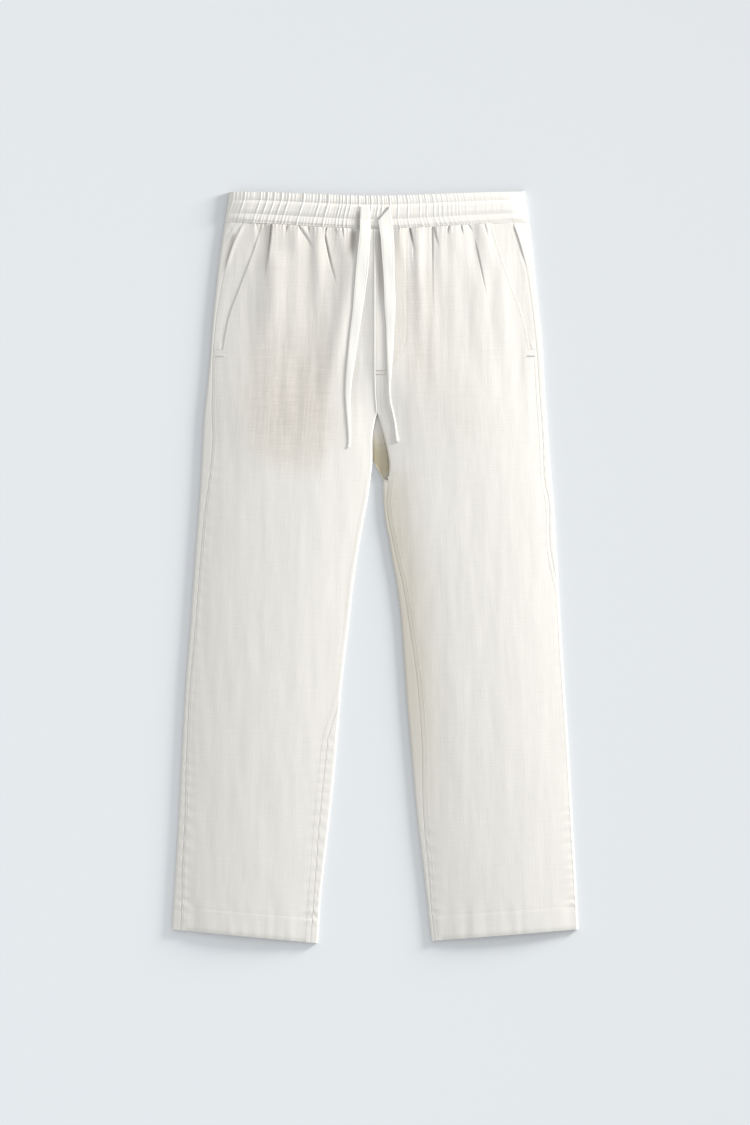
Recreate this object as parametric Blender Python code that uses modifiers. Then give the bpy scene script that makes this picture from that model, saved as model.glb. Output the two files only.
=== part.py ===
"""Linen drawstring trousers laid flat, face up, as the pieces that are cut and sewn.

Metres, +Z up. +Y runs to the waist, +X to the wearer's left, and the origin lies on the surface
under the middle of the garment. The sizes below are in millimetres, and MM turns them into metres.

Each side of the trousers is a flattened tube of cloth. A Section works out its outline at one
height, and the panels are strips of that outline: the front lies on top, and the back lies
underneath and wraps round the folds to the seams. Solidify gives the panels their wall.
"""

import math

import bpy

MM = 0.001

# Cloth
CLOTH = 1.5             # wall of a trouser panel
FACING_CLOTH = 1.0      # wall of a pocket facing
SEAM_GAP = 0.3          # clearance between two pieces at a seam
FOLD_SEAM_GAP = 1.0     # the same where a seam lies on a fold, whose inner face is tighter
FOLD_RADIUS = 2.2       # outer radius where a leg folds over at its side
QUARTER_FOLD = FOLD_RADIUS * math.pi / 2
CROWN_SPREAD = 50.0     # distance over which the top rises from a fold to its full height
SUNK_FROM = 285.0       # below this the inner part of a leg sinks towards its fold
SUNK_OVER = 90.0        # height over which it does
CURL_OVER = 14.0        # height below the crotch's top over which a front's inner edge turns down

# Sides: the sign of x at the outer edge
SIDES = {"right": -1.0, "left": 1.0}

# Levels along the cloth
WAIST_ROW = 461.0       # waistband seam at the side folds
HEM_ROW = -485.5        # hem edge at the side folds
WAIST_DIP = 8.7         # how far the waistband seam dips at the centre
WAIST_DIP_END = 330.0   # where that dip has faded out
HEM_SLANT = {"right": 18.5, "left": 15.5}   # how far a hem drops from its outer to its inner edge
HEM_SLANT_END = -300.0
HEM_DEPTH = 35.0        # turned-up hem
HEM_RISE = 0.5          # what its second layer adds to the height
APEX_ROW = 206.0        # top of the crotch opening between the fronts
FRONT_JOIN_ROW = 120.0  # below this a front ends at its inner leg seam
BACK_SPLIT_ROW = 143.0  # where the backs part into two legs

# Slanted pocket
MOUTH_END_ROW = 291.0   # lower end of the pocket mouth
MOUTH_LIFT = 1.2        # how far the mouth's edge stands above the panel
MOUTH_SPREAD = 30.0     # width over which that fades
FACING_UNDER = 10.0     # how far the facing runs on under the front
FACING_CLEARANCE = 0.5  # space between the two there

# Closed fly: the stitched J on the left front
FLY_WIDTH = 43.0
FLY_LOW = 260.0
FLY_CURVE = 55.0        # height of the J's curve
FLY_RISE = 0.5
FLY_CENTRE = 1.0        # x of the centre front seam

# Waistband
BAND_WALL = 2.4
BAND_FOLD_RADIUS = 3.0
BAND_INSIDE = BAND_WALL + 2 * (BAND_FOLD_RADIUS - BAND_WALL)  # inner face of the front band
BAND_BOTTOM_HALF = {"right": 201.0, "left": 205.5}  # half width at the lower seam
BAND_TAPER = 0.032      # how much narrower the top edge is
BAND_LEAN = 4.2         # extra lean of the gathers, half way out
BAND_LEAN_OVER = 200.0  # distance from the centre at which that lean has gone
BAND_CROWN = 25.0       # distance over which the band rises from its side folds
BAND_HEIGHT_SIDE = 41.0
BAND_HEIGHT_CENTRE = 44.3
BAND_SEAM = {"right": 176.5, "left": 185.0}         # side seams on the top face, at the lower edge
GATHER_PITCH = 7.4      # mean distance between two gathers
GATHER_SMOOTH_FROM = 118.0   # the gathers fade out beyond this on the wearer's left
GATHER_SMOOTH_OVER = 35.0
GATHER_LEAST = 0.15

# Drawstring
TAPE_CLEARANCE = 0.4    # space between a tape and the highest point under it
TAPE_SIDES = 8
TAPE_STEP = 16.0        # length of one stretch of tape

LINEN = (0.80, 0.785, 0.735, 1.0)
TAPE_LINEN = (0.86, 0.85, 0.81, 1.0)
LINEN_ROUGHNESS = 0.9


def table(columns, rows):
    """Give each named column of a table as a list, in rows from the hem up to the waist."""
    ordered = sorted(rows)
    return {name: [row[place] for row in ordered] for place, name in enumerate(columns.split())}


# Side folds and height of the crown, by height y on the cloth
OUTLINE = table("y right_outer left_outer crown", [
    (461.0, -201.0, 205.5, 7.4),
    (422.0, -207.0, 210.6, 7.4),
    (375.0, -212.5, 215.3, 7.3),
    (331.0, -217.0, 220.0, 7.2),
    (288.0, -220.0, 224.0, 7.1),
    (245.0, -224.0, 226.3, 7.0),
    (197.0, -229.0, 229.7, 6.9),
    (143.0, -231.8, 233.7, 6.9),
    (89.0, -235.0, 238.4, 6.9),
    (9.0, -241.0, 243.2, 6.9),
    (-71.0, -246.7, 248.0, 6.9),
    (-152.0, -253.0, 253.0, 6.9),
    (-259.0, -259.0, 260.0, 6.8),
    (-339.0, -263.0, 264.4, 6.7),
    (-420.0, -268.0, 269.0, 6.5),
    (-485.5, -272.0, 272.4, 6.2),
])

# Centre seams, x at each height
CENTRE_SEAM = table("y front back", [
    (461.0, 1.0, 0.0),
    (260.0, 1.0, -1.2),
    (230.0, 1.8, -1.6),
    (206.0, 3.4, -1.9),
    (143.0, 3.4, -2.6),
])

# Inner folds of the legs, below the point where the backs part
BACK_INNER = table("y right left", [
    (143.0, -2.6, -2.6),
    (130.0, -4.2, 4.0),
    (116.0, -6.0, 10.6),
    (89.0, -10.0, 11.4),
    (63.0, -15.0, 13.8),
    (36.0, -20.0, 18.8),
    (9.0, -24.5, 23.3),
    (-18.0, -28.5, 28.4),
    (-71.0, -34.5, 35.3),
    (-125.0, -41.0, 39.2),
    (-179.0, -46.6, 42.9),
    (-259.0, -53.0, 49.8),
    (-339.0, -61.0, 57.2),
    (-404.0, -68.5, 65.0),
    (-442.0, -72.6, 69.4),
    (-504.0, -76.4, 76.0),
])

# Inner edges of the fronts at the crotch opening
FRONT_INNER = table("y right left", [
    (206.0, 3.4, 3.4),
    (197.0, -1.5, 4.8),
    (190.0, -4.6, 7.0),
    (170.0, -2.6, 13.0),
    (152.0, -2.4, 17.3),
    (136.0, -3.2, 19.6),
    (120.0, -5.4, 18.4),
])

# Distance of the seams from the folds, on the top face; at 0 the seam lies on the fold
SEAM_INSET = table("y right_outer left_outer right_inner left_inner", [
    (461.0, 24.5, 20.5, 0.0, 7.5),
    (440.0, 17.5, 16.0, 0.0, 7.5),
    (422.0, 13.5, 13.0, 0.0, 7.5),
    (395.0, 9.0, 9.5, 0.0, 7.5),
    (331.0, 4.5, 7.5, 0.0, 7.5),
    (290.0, 3.5, 7.0, 0.0, 7.5),
    (245.0, 6.5, 6.5, 0.0, 7.5),
    (197.0, 11.0, 6.5, 0.0, 7.5),
    (170.0, 13.5, 6.8, 0.0, 7.5),
    (116.0, 11.4, 8.8, 0.0, 7.0),
    (83.0, 8.8, 5.4, 0.0, 4.2),
    (33.0, 7.3, 7.6, 0.0, 5.0),
    (-10.0, 7.2, 3.0, 0.0, 7.2),
    (-30.0, 7.2, 0.0, 0.0, 8.2),
    (-71.0, 7.0, 0.0, 0.0, 9.8),
    (-125.0, 6.4, 0.0, 0.0, 14.0),
    (-179.0, 5.6, 0.0, 0.0, 16.4),
    (-192.0, 5.7, 0.0, 0.9, 16.3),
    (-205.0, 5.8, 0.0, 4.6, 16.2),
    (-232.0, 6.1, 0.0, 14.0, 15.4),
    (-299.0, 7.4, 0.0, 13.6, 10.6),
    (-339.0, 8.6, 0.0, 13.0, 8.6),
    (-404.0, 9.0, 0.0, 9.8, 6.4),
    (-442.0, 11.0, 0.0, 9.0, 4.8),
    (-485.5, 12.0, 0.0, 9.8, 4.5),
])

# Distance of the pocket mouths from the side folds
MOUTH_INSET = table("y right left", [
    (461.0, 50.5, 49.5),
    (419.0, 42.8, 42.0),
    (375.0, 31.4, 31.0),
    (332.0, 20.4, 20.8),
    (291.0, 15.4, 15.8),
])

# How the inner end of a back turns up, from flat on the surface to right over at the inner fold
BACK_CURL = table("y right_angle left_angle right_length left_length", [
    (461.0, 0.0, 0.0, 3.2, 3.2),
    (143.0, 0.0, 0.0, 3.2, 3.2),
    (136.0, 60.0, 25.0, 2.6, 3.6),
    (130.0, 90.0, 60.0, 3.2, 4.4),
    (123.0, 90.0, 110.0, 3.2, 5.5),
])
FULL_CURL_ROW = {"right": 130.0, "left": 116.0}

# Pleats and creases under the waistband: where each starts and ends, half its width, its height
FOLDS = table("start_y start_x end_y end_x half_width height", [
    (459.0, -160.0, 430.0, -158.0, 5.0, -0.7),
    (459.0, -139.0, 378.0, -149.0, 6.0, -1.5),
    (458.0, -127.0, 372.0, -137.0, 9.0, 1.5),
    (457.0, -114.0, 425.0, -117.0, 5.5, -0.9),
    (456.0, -101.0, 418.0, -79.0, 6.0, -1.1),
    (455.0, -90.0, 425.0, -95.0, 5.5, 1.0),
    (454.0, -77.0, 370.0, -58.0, 7.0, 1.2),
    (454.0, -66.5, 372.0, -50.0, 5.5, -1.3),
    (453.0, -46.0, 400.0, -40.0, 8.0, 0.8),
    (452.0, -27.0, 405.0, -30.0, 7.0, -1.5),
    (430.0, -31.0, 320.0, -62.0, 12.0, -0.7),
    (453.0, 36.0, 400.0, 38.0, 7.0, 0.9),
    (453.0, 49.0, 405.0, 53.0, 6.0, -1.4),
    (453.0, 66.0, 350.0, 66.0, 8.0, 1.2),
    (453.0, 78.0, 335.0, 77.5, 6.0, -1.1),
    (454.0, 88.0, 420.0, 88.0, 5.5, 0.8),
    (454.0, 99.0, 425.0, 96.0, 5.5, -0.9),
    (455.0, 116.0, 428.0, 119.0, 5.5, -0.8),
    (456.0, 128.0, 400.0, 133.0, 6.0, 0.7),
    (440.0, 136.0, 355.0, 151.0, 6.0, -1.1),
])

# Waistband profile from its lower seam (0) to its top edge (1): height, and depth of the gathers
BAND_PROFILE = table("share height gather", [
    (0.00, 7.0, 0.4),
    (0.14, 7.7, 0.8),
    (0.28, 7.0, 0.4),
    (0.42, 8.5, 1.0),
    (0.60, 8.6, 1.2),
    (0.74, 7.0, 0.5),
    (0.86, 7.3, 1.1),
    (1.00, 6.4, 1.3),
])

# The drawstring's two free ends: middle of the tape, its width and thickness as it lies, and how
# much higher its left edge is than its right edge, seen from above
TAPES = {
    "right": table("y x width thickness slant", [
        (482.0, -13.0, 12.0, 1.8, 0.0),
        (453.0, -13.0, 14.0, 1.5, 0.0),
        (425.0, -15.0, 15.4, 1.4, 0.0),
        (398.0, -17.0, 16.0, 1.4, 0.0),
        (370.0, -20.0, 15.0, 1.5, 0.0),
        (344.0, -23.0, 13.4, 1.7, 0.0),
        (310.0, -27.6, 12.0, 2.0, 0.0),
        (274.0, -32.0, 10.7, 2.2, 0.0),
        (250.0, -34.4, 8.6, 2.6, 0.0),
        (228.0, -35.6, 7.1, 2.8, 0.0),
        (193.0, -35.4, 4.6, 3.2, 0.0),
        (175.0, -35.9, 4.0, 3.0, 0.0),
        (159.0, -36.4, 3.6, 2.6, 0.0),
    ]),
    "left": table("y x width thickness slant", [
        (472.5, 12.2, 15.6, 1.8, 19.0),
        (463.0, 13.6, 17.0, 1.6, 10.0),
        (452.0, 15.2, 17.4, 1.4, 2.0),
        (434.0, 17.0, 17.4, 1.4, 0.0),
        (410.0, 18.0, 16.0, 1.5, 0.0),
        (387.0, 19.0, 14.7, 1.7, 0.0),
        (355.0, 20.0, 14.7, 1.8, 0.0),
        (320.0, 20.4, 10.7, 2.4, 0.0),
        (274.0, 21.0, 7.4, 3.0, 0.0),
        (239.5, 20.0, 4.0, 3.2, 0.0),
        (222.0, 21.0, 3.6, 3.2, 0.0),
        (207.0, 24.0, 3.6, 3.0, 0.0),
        (193.0, 26.5, 3.8, 2.8, 0.0),
        (178.0, 28.6, 5.0, 2.6, 0.0),
        (166.0, 30.5, 5.6, 2.6, 0.0),
    ]),
}

# Rows of the panels, from the waist to the hem
HIP_ROWS = (461.0, 452.0, 441.0, 429.0, 415.0, 399.0, 380.0, 358.0, 332.0, 308.0, 291.0, 289.0, 262.0,
            234.0)
CROTCH_ROWS = (206.0, 190.0, 170.0, 152.0, 143.0, 136.0, 130.0, 123.0)
LEG_ROWS = (116.0, 95.0, 60.0, 20.0, -20.0, -60.0, -120.0, -179.0, -192.0, -205.0, -232.0, -300.0, -370.0,
            -447.0, -454.0, HEM_ROW)
HIP_COLUMNS = 25
LEG_COLUMNS = 10
HIP_UNDER_COLUMNS = 5
LEG_UNDER_COLUMNS = 2
EDGE_STEPS = (0.0, 0.3, 1.2, 2.4, 4.0)   # distances of the closer columns from a seam
FACING_COLUMNS = 7
BAND_UNDER_COLUMNS = 10
OPENING_RAISE = 0.8     # how far above the back a front's edge ends at the crotch opening


# ---------------------------------------------------------------- numbers

def along(stations, name, place):
    """Read a named column at a place between its rows, by a smooth curve that never overshoots."""
    places = next(iter(stations.values()))
    values = stations[name]
    place = min(max(place, places[0]), places[-1])
    last = len(places) - 1
    low = max(k for k in range(last) if places[k] <= place)
    steps = [places[k + 1] - places[k] for k in range(last)]
    slopes = [(values[k + 1] - values[k]) / steps[k] for k in range(last)]

    def tangent(k):
        if k == 0 or k == last:
            return slopes[min(k, last - 1)]
        before, after = slopes[k - 1], slopes[k]
        if before * after <= 0.0:
            return 0.0
        return 2.0 * before * after / (before + after)

    t = (place - places[low]) / steps[low]
    start, end = values[low], values[low + 1]
    pull_start = tangent(low) * steps[low]
    pull_end = tangent(low + 1) * steps[low]
    return (start * (1 + 2 * t) * (1 - t) ** 2 + pull_start * t * (1 - t) ** 2
            + end * t * t * (3 - 2 * t) + pull_end * t * t * (t - 1))


def smooth(value):
    """Ease from 0 to 1."""
    value = min(max(value, 0.0), 1.0)
    return value * value * (3 - 2 * value)


def rise(distance, spread):
    """Rise from 0 at a fold to 1 at the crown, steepest at the fold."""
    short = 1.0 - min(max(distance / spread, 0.0), 1.0)
    return 1.0 - short * short


def spaced(start, end, count):
    """Give evenly spaced numbers, both ends included."""
    return [start + (end - start) * k / (count - 1) for k in range(count)]


# ---------------------------------------------------------------- form of the cloth

def fold_relief(x, y):
    """Height of the pleats and creases under the waistband."""
    total = 0.0
    for k, start_y in enumerate(FOLDS["start_y"]):
        length = start_y - FOLDS["end_y"][k]
        share = (start_y - y) / length
        if share < -0.25 or share > 1.0:
            continue
        fade = smooth((1.0 - share) / 0.7) * smooth((share + 0.25) / 0.25)
        middle = FOLDS["start_x"][k] + (FOLDS["end_x"][k] - FOLDS["start_x"][k]) * share
        off = (x - middle) / FOLDS["half_width"][k]
        total += FOLDS["height"][k] * fade * math.exp(-off * off)
    return total


def fly_relief(x, y):
    """Height that the closed fly's second layer adds on the left front."""
    below = (FLY_LOW + FLY_CURVE - y) / FLY_CURVE
    half = FLY_WIDTH
    if below > 0.0:
        half = FLY_WIDTH * math.sqrt(max(0.0, 1.0 - below * below))
    inside = x - FLY_CENTRE
    if inside < 0.0 or half <= 0.0:
        return 0.0
    return FLY_RISE * smooth((half - inside) / 4.0)


def hem_relief(row):
    """Height that a hem's second layer adds."""
    return HEM_RISE * smooth((HEM_ROW + HEM_DEPTH + 1.0 - row) / 4.0)


class Section:
    """One side of the trousers at one row: its folds, seams and the form of its top face."""

    def __init__(self, side, row):
        self.side = side
        self.sign = SIDES[side]
        self.row = row
        self.outer = along(OUTLINE, side + "_outer", row)
        self.crown = along(OUTLINE, "crown", row)
        inner_row = row + self.shift(1.0)
        self.back_inner = along(BACK_INNER, side, inner_row)
        self.front_inner = self.back_inner
        if row >= BACK_SPLIT_ROW:
            self.back_inner = along(CENTRE_SEAM, "back", inner_row)
        if row >= APEX_ROW:
            self.front_inner = along(CENTRE_SEAM, "front", inner_row)
        elif row > FRONT_JOIN_ROW:
            self.front_inner = along(FRONT_INNER, side, inner_row)
        self.curled = smooth((APEX_ROW - row) / CURL_OVER)       # 1 where the front's inner edge folds down
        self.sunk = smooth((SUNK_FROM - row) / SUNK_OVER)   # 1 where its inner part is low, as at a fold

    def shift(self, share):
        """How far a point lies above its row, by its share of the way from the outer edge in."""
        dip = WAIST_DIP * smooth(share) * smooth((self.row - WAIST_DIP_END) / (WAIST_ROW - WAIST_DIP_END))
        slant = HEM_SLANT[self.side] * share
        slant *= smooth((HEM_SLANT_END - self.row) / (HEM_SLANT_END - HEM_ROW))
        return -dip - slant

    def place(self, depth, height, width):
        """Turn a distance from the outer edge, in a width, and a height into a point."""
        x = self.outer - self.sign * depth
        return (x, self.row + self.shift(min(max(depth / width, 0.0), 1.0)), height)

    def top(self, depth, width):
        """Height of the bare top face at a distance from the outer edge."""
        fold_height = 2 * FOLD_RADIUS
        inner_rise = rise(width - depth - FOLD_RADIUS, CROWN_SPREAD)
        crown = rise(depth - FOLD_RADIUS, CROWN_SPREAD) * (1.0 + self.sunk * (inner_rise - 1.0))
        return fold_height + (self.crown - fold_height) * crown + hem_relief(self.row) * crown

    def front_width(self):
        return abs(self.front_inner - self.outer)

    def back_width(self):
        return abs(self.back_inner - self.outer)

    def seam_half_gap(self, name):
        """Half the clearance at a seam."""
        on_top = smooth(along(SEAM_INSET, name, self.row) / (3 * FOLD_RADIUS))
        return (FOLD_SEAM_GAP + (SEAM_GAP - FOLD_SEAM_GAP) * on_top) / 2

    def seam_arc(self, name):
        """Distance along the cloth from the fold's outermost line to a seam."""
        inset = along(SEAM_INSET, name, self.row)
        if inset < FOLD_RADIUS:
            return FOLD_RADIUS * math.acos(1.0 - inset / FOLD_RADIUS)
        return QUARTER_FOLD + inset - FOLD_RADIUS

    def on_outer_fold(self, arc):
        """Point on the outer fold: arc 0 is its outermost line, and top and underside lie beyond."""
        if arc < -QUARTER_FOLD:
            return FOLD_RADIUS - arc - QUARTER_FOLD, 0.0
        angle = arc / FOLD_RADIUS
        return FOLD_RADIUS * (1.0 - math.cos(angle)), FOLD_RADIUS * (1.0 + math.sin(angle))

    def front_point(self, arc, lift=0.0):
        """Point on the front, at a distance along the cloth from the outer fold's outermost line."""
        width = self.front_width()
        turn = self.curled * math.pi / 2
        reach = QUARTER_FOLD
        if turn > 0.001:
            reach = QUARTER_FOLD * math.sin(turn) / turn
        flat_end = QUARTER_FOLD + width - FOLD_RADIUS - reach
        if arc < QUARTER_FOLD:
            depth, height = self.on_outer_fold(arc)
            return self.place(depth, height, width)
        if arc <= flat_end:
            depth = FOLD_RADIUS + arc - QUARTER_FOLD
            height = self.top(depth, width)
            x, y, _ = self.place(depth, height, width)
            return (x, y, height + lift + self.relief(x, y, depth))
        past = arc - flat_end
        depth = width - reach
        start = self.top(depth, width)
        if turn < 0.001:
            depth += past
        else:
            radius = QUARTER_FOLD / turn
            angle = turn * past / QUARTER_FOLD
            depth += radius * math.sin(angle)
            start -= radius * (1.0 - math.cos(angle))
        x, y, _ = self.place(depth, start, width)
        return (x, y, start + self.relief(x, y, depth) * (1.0 - self.curled))

    def relief(self, x, y, depth):
        """Folds and fly, faded out by the side seam so that the pieces still meet."""
        edge = smooth((depth - along(SEAM_INSET, self.side + "_outer", self.row) - 2.0) / 8.0)
        raised = fold_relief(x, y)
        if self.side == "left":
            raised += fly_relief(x, y)
        return raised * edge

    def front_length(self):
        """Distance along the front from the outer fold's outermost line to its inner end."""
        turn = self.curled * math.pi / 2
        reach = QUARTER_FOLD
        if turn > 0.001:
            reach = QUARTER_FOLD * math.sin(turn) / turn
        length = 2 * QUARTER_FOLD + self.front_width() - FOLD_RADIUS - reach
        if self.row > FRONT_JOIN_ROW:
            return length - SEAM_GAP / 2 - OPENING_RAISE * self.curled
        name = self.side + "_inner"
        return length - self.seam_arc(name) - self.seam_half_gap(name)

    def under_point(self, depth):
        """Point on the flat underside."""
        return self.place(depth, 0.0, self.back_width())

    def back_end_point(self, past):
        """Point past the underside's inner end, where the back turns up at the inner fold."""
        width = self.back_width()
        if self.row <= FULL_CURL_ROW[self.side]:
            if past <= 2 * QUARTER_FOLD:
                angle = past / FOLD_RADIUS
                depth = width - FOLD_RADIUS + FOLD_RADIUS * math.sin(angle)
                return self.place(depth, FOLD_RADIUS * (1.0 - math.cos(angle)), width)
            depth = width - FOLD_RADIUS - (past - 2 * QUARTER_FOLD)
            return self.place(depth, self.top(depth, width), width)
        turn = math.radians(along(BACK_CURL, self.side + "_angle", self.row))
        length = along(BACK_CURL, self.side + "_length", self.row)
        straight = max(0.0, length - turn * FOLD_RADIUS)
        reach = FOLD_RADIUS * math.sin(min(turn, math.pi / 2)) + straight * max(0.0, math.cos(turn))
        angle = min(past / FOLD_RADIUS, turn)
        rest = past - angle * FOLD_RADIUS
        depth = width - reach + FOLD_RADIUS * math.sin(angle) + rest * math.cos(angle)
        height = FOLD_RADIUS * (1.0 - math.cos(angle)) + rest * math.sin(angle)
        return self.place(depth, height, width)

    def back_end_reach(self):
        """Width of the underside that is left when its inner end has turned up."""
        if self.row <= FULL_CURL_ROW[self.side]:
            return self.back_width() - FOLD_RADIUS
        turn = math.radians(along(BACK_CURL, self.side + "_angle", self.row))
        length = along(BACK_CURL, self.side + "_length", self.row)
        straight = max(0.0, length - turn * FOLD_RADIUS)
        reach = FOLD_RADIUS * math.sin(min(turn, math.pi / 2)) + straight * max(0.0, math.cos(turn))
        return self.back_width() - reach

    def back_end_length(self):
        """Length of cloth past the underside's inner end."""
        if self.row > FULL_CURL_ROW[self.side]:
            return along(BACK_CURL, self.side + "_length", self.row) - SEAM_GAP / 2
        name = self.side + "_inner"
        return QUARTER_FOLD + self.seam_arc(name) - self.seam_half_gap(name)


def mouth_lift(section, depth):
    """How far the front stands up along its pocket mouth."""
    mouth = along(MOUTH_INSET, section.side, section.row)
    fade = smooth((section.row - MOUTH_END_ROW + 2.0) / 20.0)
    return MOUTH_LIFT * fade * (1.0 - smooth((depth - mouth) / MOUTH_SPREAD))


def front_start(section):
    """Distance along the cloth at which a front starts: its pocket mouth or its side seam."""
    if section.row >= MOUTH_END_ROW:
        return QUARTER_FOLD + along(MOUTH_INSET, section.side, section.row) - FOLD_RADIUS
    name = section.side + "_outer"
    return section.seam_arc(name) + section.seam_half_gap(name)


def front_row(side, row, columns):
    """Points of a front across one row, from its outer to its inner edge."""
    section = Section(side, row)
    start = front_start(section)
    end = section.front_length()
    arcs = [start + step for step in EDGE_STEPS]
    arcs += spaced(start + EDGE_STEPS[-1], end - EDGE_STEPS[-1], columns + 2)[1:-1]
    arcs += [end - step for step in reversed(EDGE_STEPS)]
    points = []
    for arc in arcs:
        depth = FOLD_RADIUS + arc - QUARTER_FOLD
        points.append(section.front_point(arc, mouth_lift(section, depth)))
    return points


def wrap_steps(length):
    """Distances along a wrapped edge, from the underside round the fold to the seam."""
    last = length - EDGE_STEPS[1]
    fold = min(0.75 * last, 2 * QUARTER_FOLD)
    return [fold * k / 3 for k in range(4)] + [(fold + last) / 2, last, length]


def back_row(side, row, columns):
    """Points of a back across one row, from its inner edge to its outer seam on top."""
    section = Section(side, row)
    ends = wrap_steps(section.back_end_length())
    points = [section.back_end_point(past) for past in reversed(ends)]
    reach = section.back_end_reach()
    points += [section.under_point(depth) for depth in spaced(reach, FOLD_RADIUS, columns + 2)[1:-1]]
    seam = section.seam_arc(side + "_outer") - section.seam_half_gap(side + "_outer")
    width = section.front_width()
    for past in wrap_steps(seam + QUARTER_FOLD):
        arc = past - QUARTER_FOLD
        if arc <= QUARTER_FOLD:
            depth, height = section.on_outer_fold(arc)
            points.append(section.place(depth, height, width))
        else:
            depth = FOLD_RADIUS + arc - QUARTER_FOLD
            points.append(section.place(depth, section.top(depth, width), width))
    return points


def facing_row(side, row, columns):
    """Points of a pocket facing across one row, from the side seam to under the front."""
    section = Section(side, row)
    width = section.front_width()
    start = section.seam_arc(side + "_outer") + SEAM_GAP / 2 + FOLD_RADIUS - QUARTER_FOLD
    mouth = along(MOUTH_INSET, side, row)
    points = []
    for depth in spaced(start, mouth + FACING_UNDER, columns):
        x, y, height = section.place(depth, section.top(depth, width), width)
        under = mouth_lift(section, depth) + section.relief(x, y, depth) - CLOTH - FACING_CLEARANCE
        exposed = min(1.0, (depth - start) / (mouth - start))
        points.append((x, y, height + under * exposed))
    return points


# ---------------------------------------------------------------- waistband

def band_x(base, share):
    """Where a gather that starts at base on the lower seam lies at a share of the band's height."""
    return base * (1.0 - BAND_TAPER * share) - BAND_LEAN * share * math.sin(math.pi * base / BAND_LEAN_OVER)


def band_y(base, share):
    """Height on the cloth of the same place."""
    half = BAND_BOTTOM_HALF["left"] if base > 0.0 else BAND_BOTTOM_HALF["right"]
    middle = smooth(1.0 - abs(base) / half)
    low = WAIST_ROW - WAIST_DIP * middle + SEAM_GAP / 2
    return low + share * (BAND_HEIGHT_SIDE + (BAND_HEIGHT_CENTRE - BAND_HEIGHT_SIDE) * middle - SEAM_GAP)


def gather_strength(base):
    """The gathers die out towards the wearer's left."""
    return 1.0 - (1.0 - GATHER_LEAST) * smooth((base - GATHER_SMOOTH_FROM) / GATHER_SMOOTH_OVER)


def gather_stations(start, end):
    """Give (x, height 0 to 1) across the band: valley, crest and slope for each gather."""
    stations = []
    left = start
    count = 0
    while left < end - 0.6 * GATHER_PITCH:
        pitch = GATHER_PITCH * (1.0 + 0.22 * math.sin(1.9 * count) + 0.12 * math.sin(4.3 * count + 1.0))
        right = min(left + pitch, end)
        if end - right < 0.6 * GATHER_PITCH:
            right = end
        crest = 0.75 + 0.25 * math.sin(2.7 * count + 0.5)
        for share, height in ((0.0, 0.0), (0.42, 1.0), (0.74, 0.6)):
            stations.append((left + share * (right - left), height * crest))
        left = right
        count += 1
    stations.append((end, 0.0))
    return stations


def band_point(base, share, gather):
    """Point on the band's top face."""
    side = "left" if base > 0.0 else "right"
    inward = BAND_BOTTOM_HALF[side] - abs(base)
    fold_height = 2 * BAND_FOLD_RADIUS
    crown = rise(inward - BAND_FOLD_RADIUS, BAND_CROWN)
    height = fold_height + (along(BAND_PROFILE, "height", share) - fold_height) * crown
    height += along(BAND_PROFILE, "gather", share) * gather * gather_strength(base) * smooth(inward / 12.0)
    return (band_x(base, share), band_y(base, share), height)


def band_front_columns():
    """Columns of the front band: (base, gather height) from seam to seam."""
    return gather_stations(-BAND_SEAM["right"] + SEAM_GAP / 2, BAND_SEAM["left"] - SEAM_GAP / 2)


def band_back_columns():
    """Columns of the back band, as (base, height or None, gather), right seam to left seam."""
    radius = BAND_FOLD_RADIUS
    columns = []
    for side in ("right", "left"):
        sign = SIDES[side]
        half = BAND_BOTTOM_HALF[side]
        wrap = []
        seam = BAND_SEAM[side] + SEAM_GAP / 2
        for base, gather in gather_stations(seam, half - radius - 1.0):
            wrap.append((sign * base, None, gather))
        for step in range(5):
            angle = math.pi * (0.5 - step / 4)
            wrap.append((sign * (half - radius + radius * math.cos(angle)), radius * (1.0 + math.sin(angle)),
                         0.0))
        columns += wrap if side == "right" else wrap[::-1]
        if side == "right":
            under = spaced(-(half - radius), BAND_BOTTOM_HALF["left"] - radius, BAND_UNDER_COLUMNS + 2)[1:-1]
            columns += [(base, 0.0, 0.0) for base in under]
    return columns


# ---------------------------------------------------------------- meshes

class Surface:
    """Points and faces of one piece while it is made."""

    def __init__(self):
        self.points = []
        self.faces = []

    def row(self, points):
        """Add a row of points and give their numbers."""
        first = len(self.points)
        self.points += points
        return list(range(first, len(self.points)))

    def bridge(self, near, far):
        """Join two rows with quads, or with triangles where they differ in count."""
        if len(near) == len(far):
            for k in range(len(near) - 1):
                self.faces.append((near[k], near[k + 1], far[k + 1], far[k]))
            return
        a = 0
        b = 0
        while a < len(near) - 1 or b < len(far) - 1:
            next_near = (a + 1) / (len(near) - 1)
            next_far = (b + 1) / (len(far) - 1)
            if b == len(far) - 1 or (a < len(near) - 1 and next_near <= next_far):
                self.faces.append((near[a], near[a + 1], far[b]))
                a += 1
            else:
                self.faces.append((near[a], far[b + 1], far[b]))
                b += 1

    def flip(self):
        self.faces = [face[::-1] for face in self.faces]

    def make(self, name, material, collection):
        """Make the object, in metres."""
        mesh = bpy.data.meshes.new(name)
        mesh.from_pydata([(x * MM, y * MM, z * MM) for x, y, z in self.points], [], self.faces)
        mesh.materials.append(material)
        mesh.shade_smooth()
        mesh.set_sharp_from_angle(angle=math.radians(50))
        piece = bpy.data.objects.new(name, mesh)
        collection.objects.link(piece)
        return piece


def linen(name, colour):
    """A matt cloth material."""
    material = bpy.data.materials.new(name)
    material.use_nodes = True
    shader = material.node_tree.nodes["Principled BSDF"]
    shader.inputs["Base Color"].default_value = colour
    shader.inputs["Roughness"].default_value = LINEN_ROUGHNESS
    shader.inputs["Metallic"].default_value = 0.0
    return material


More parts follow.
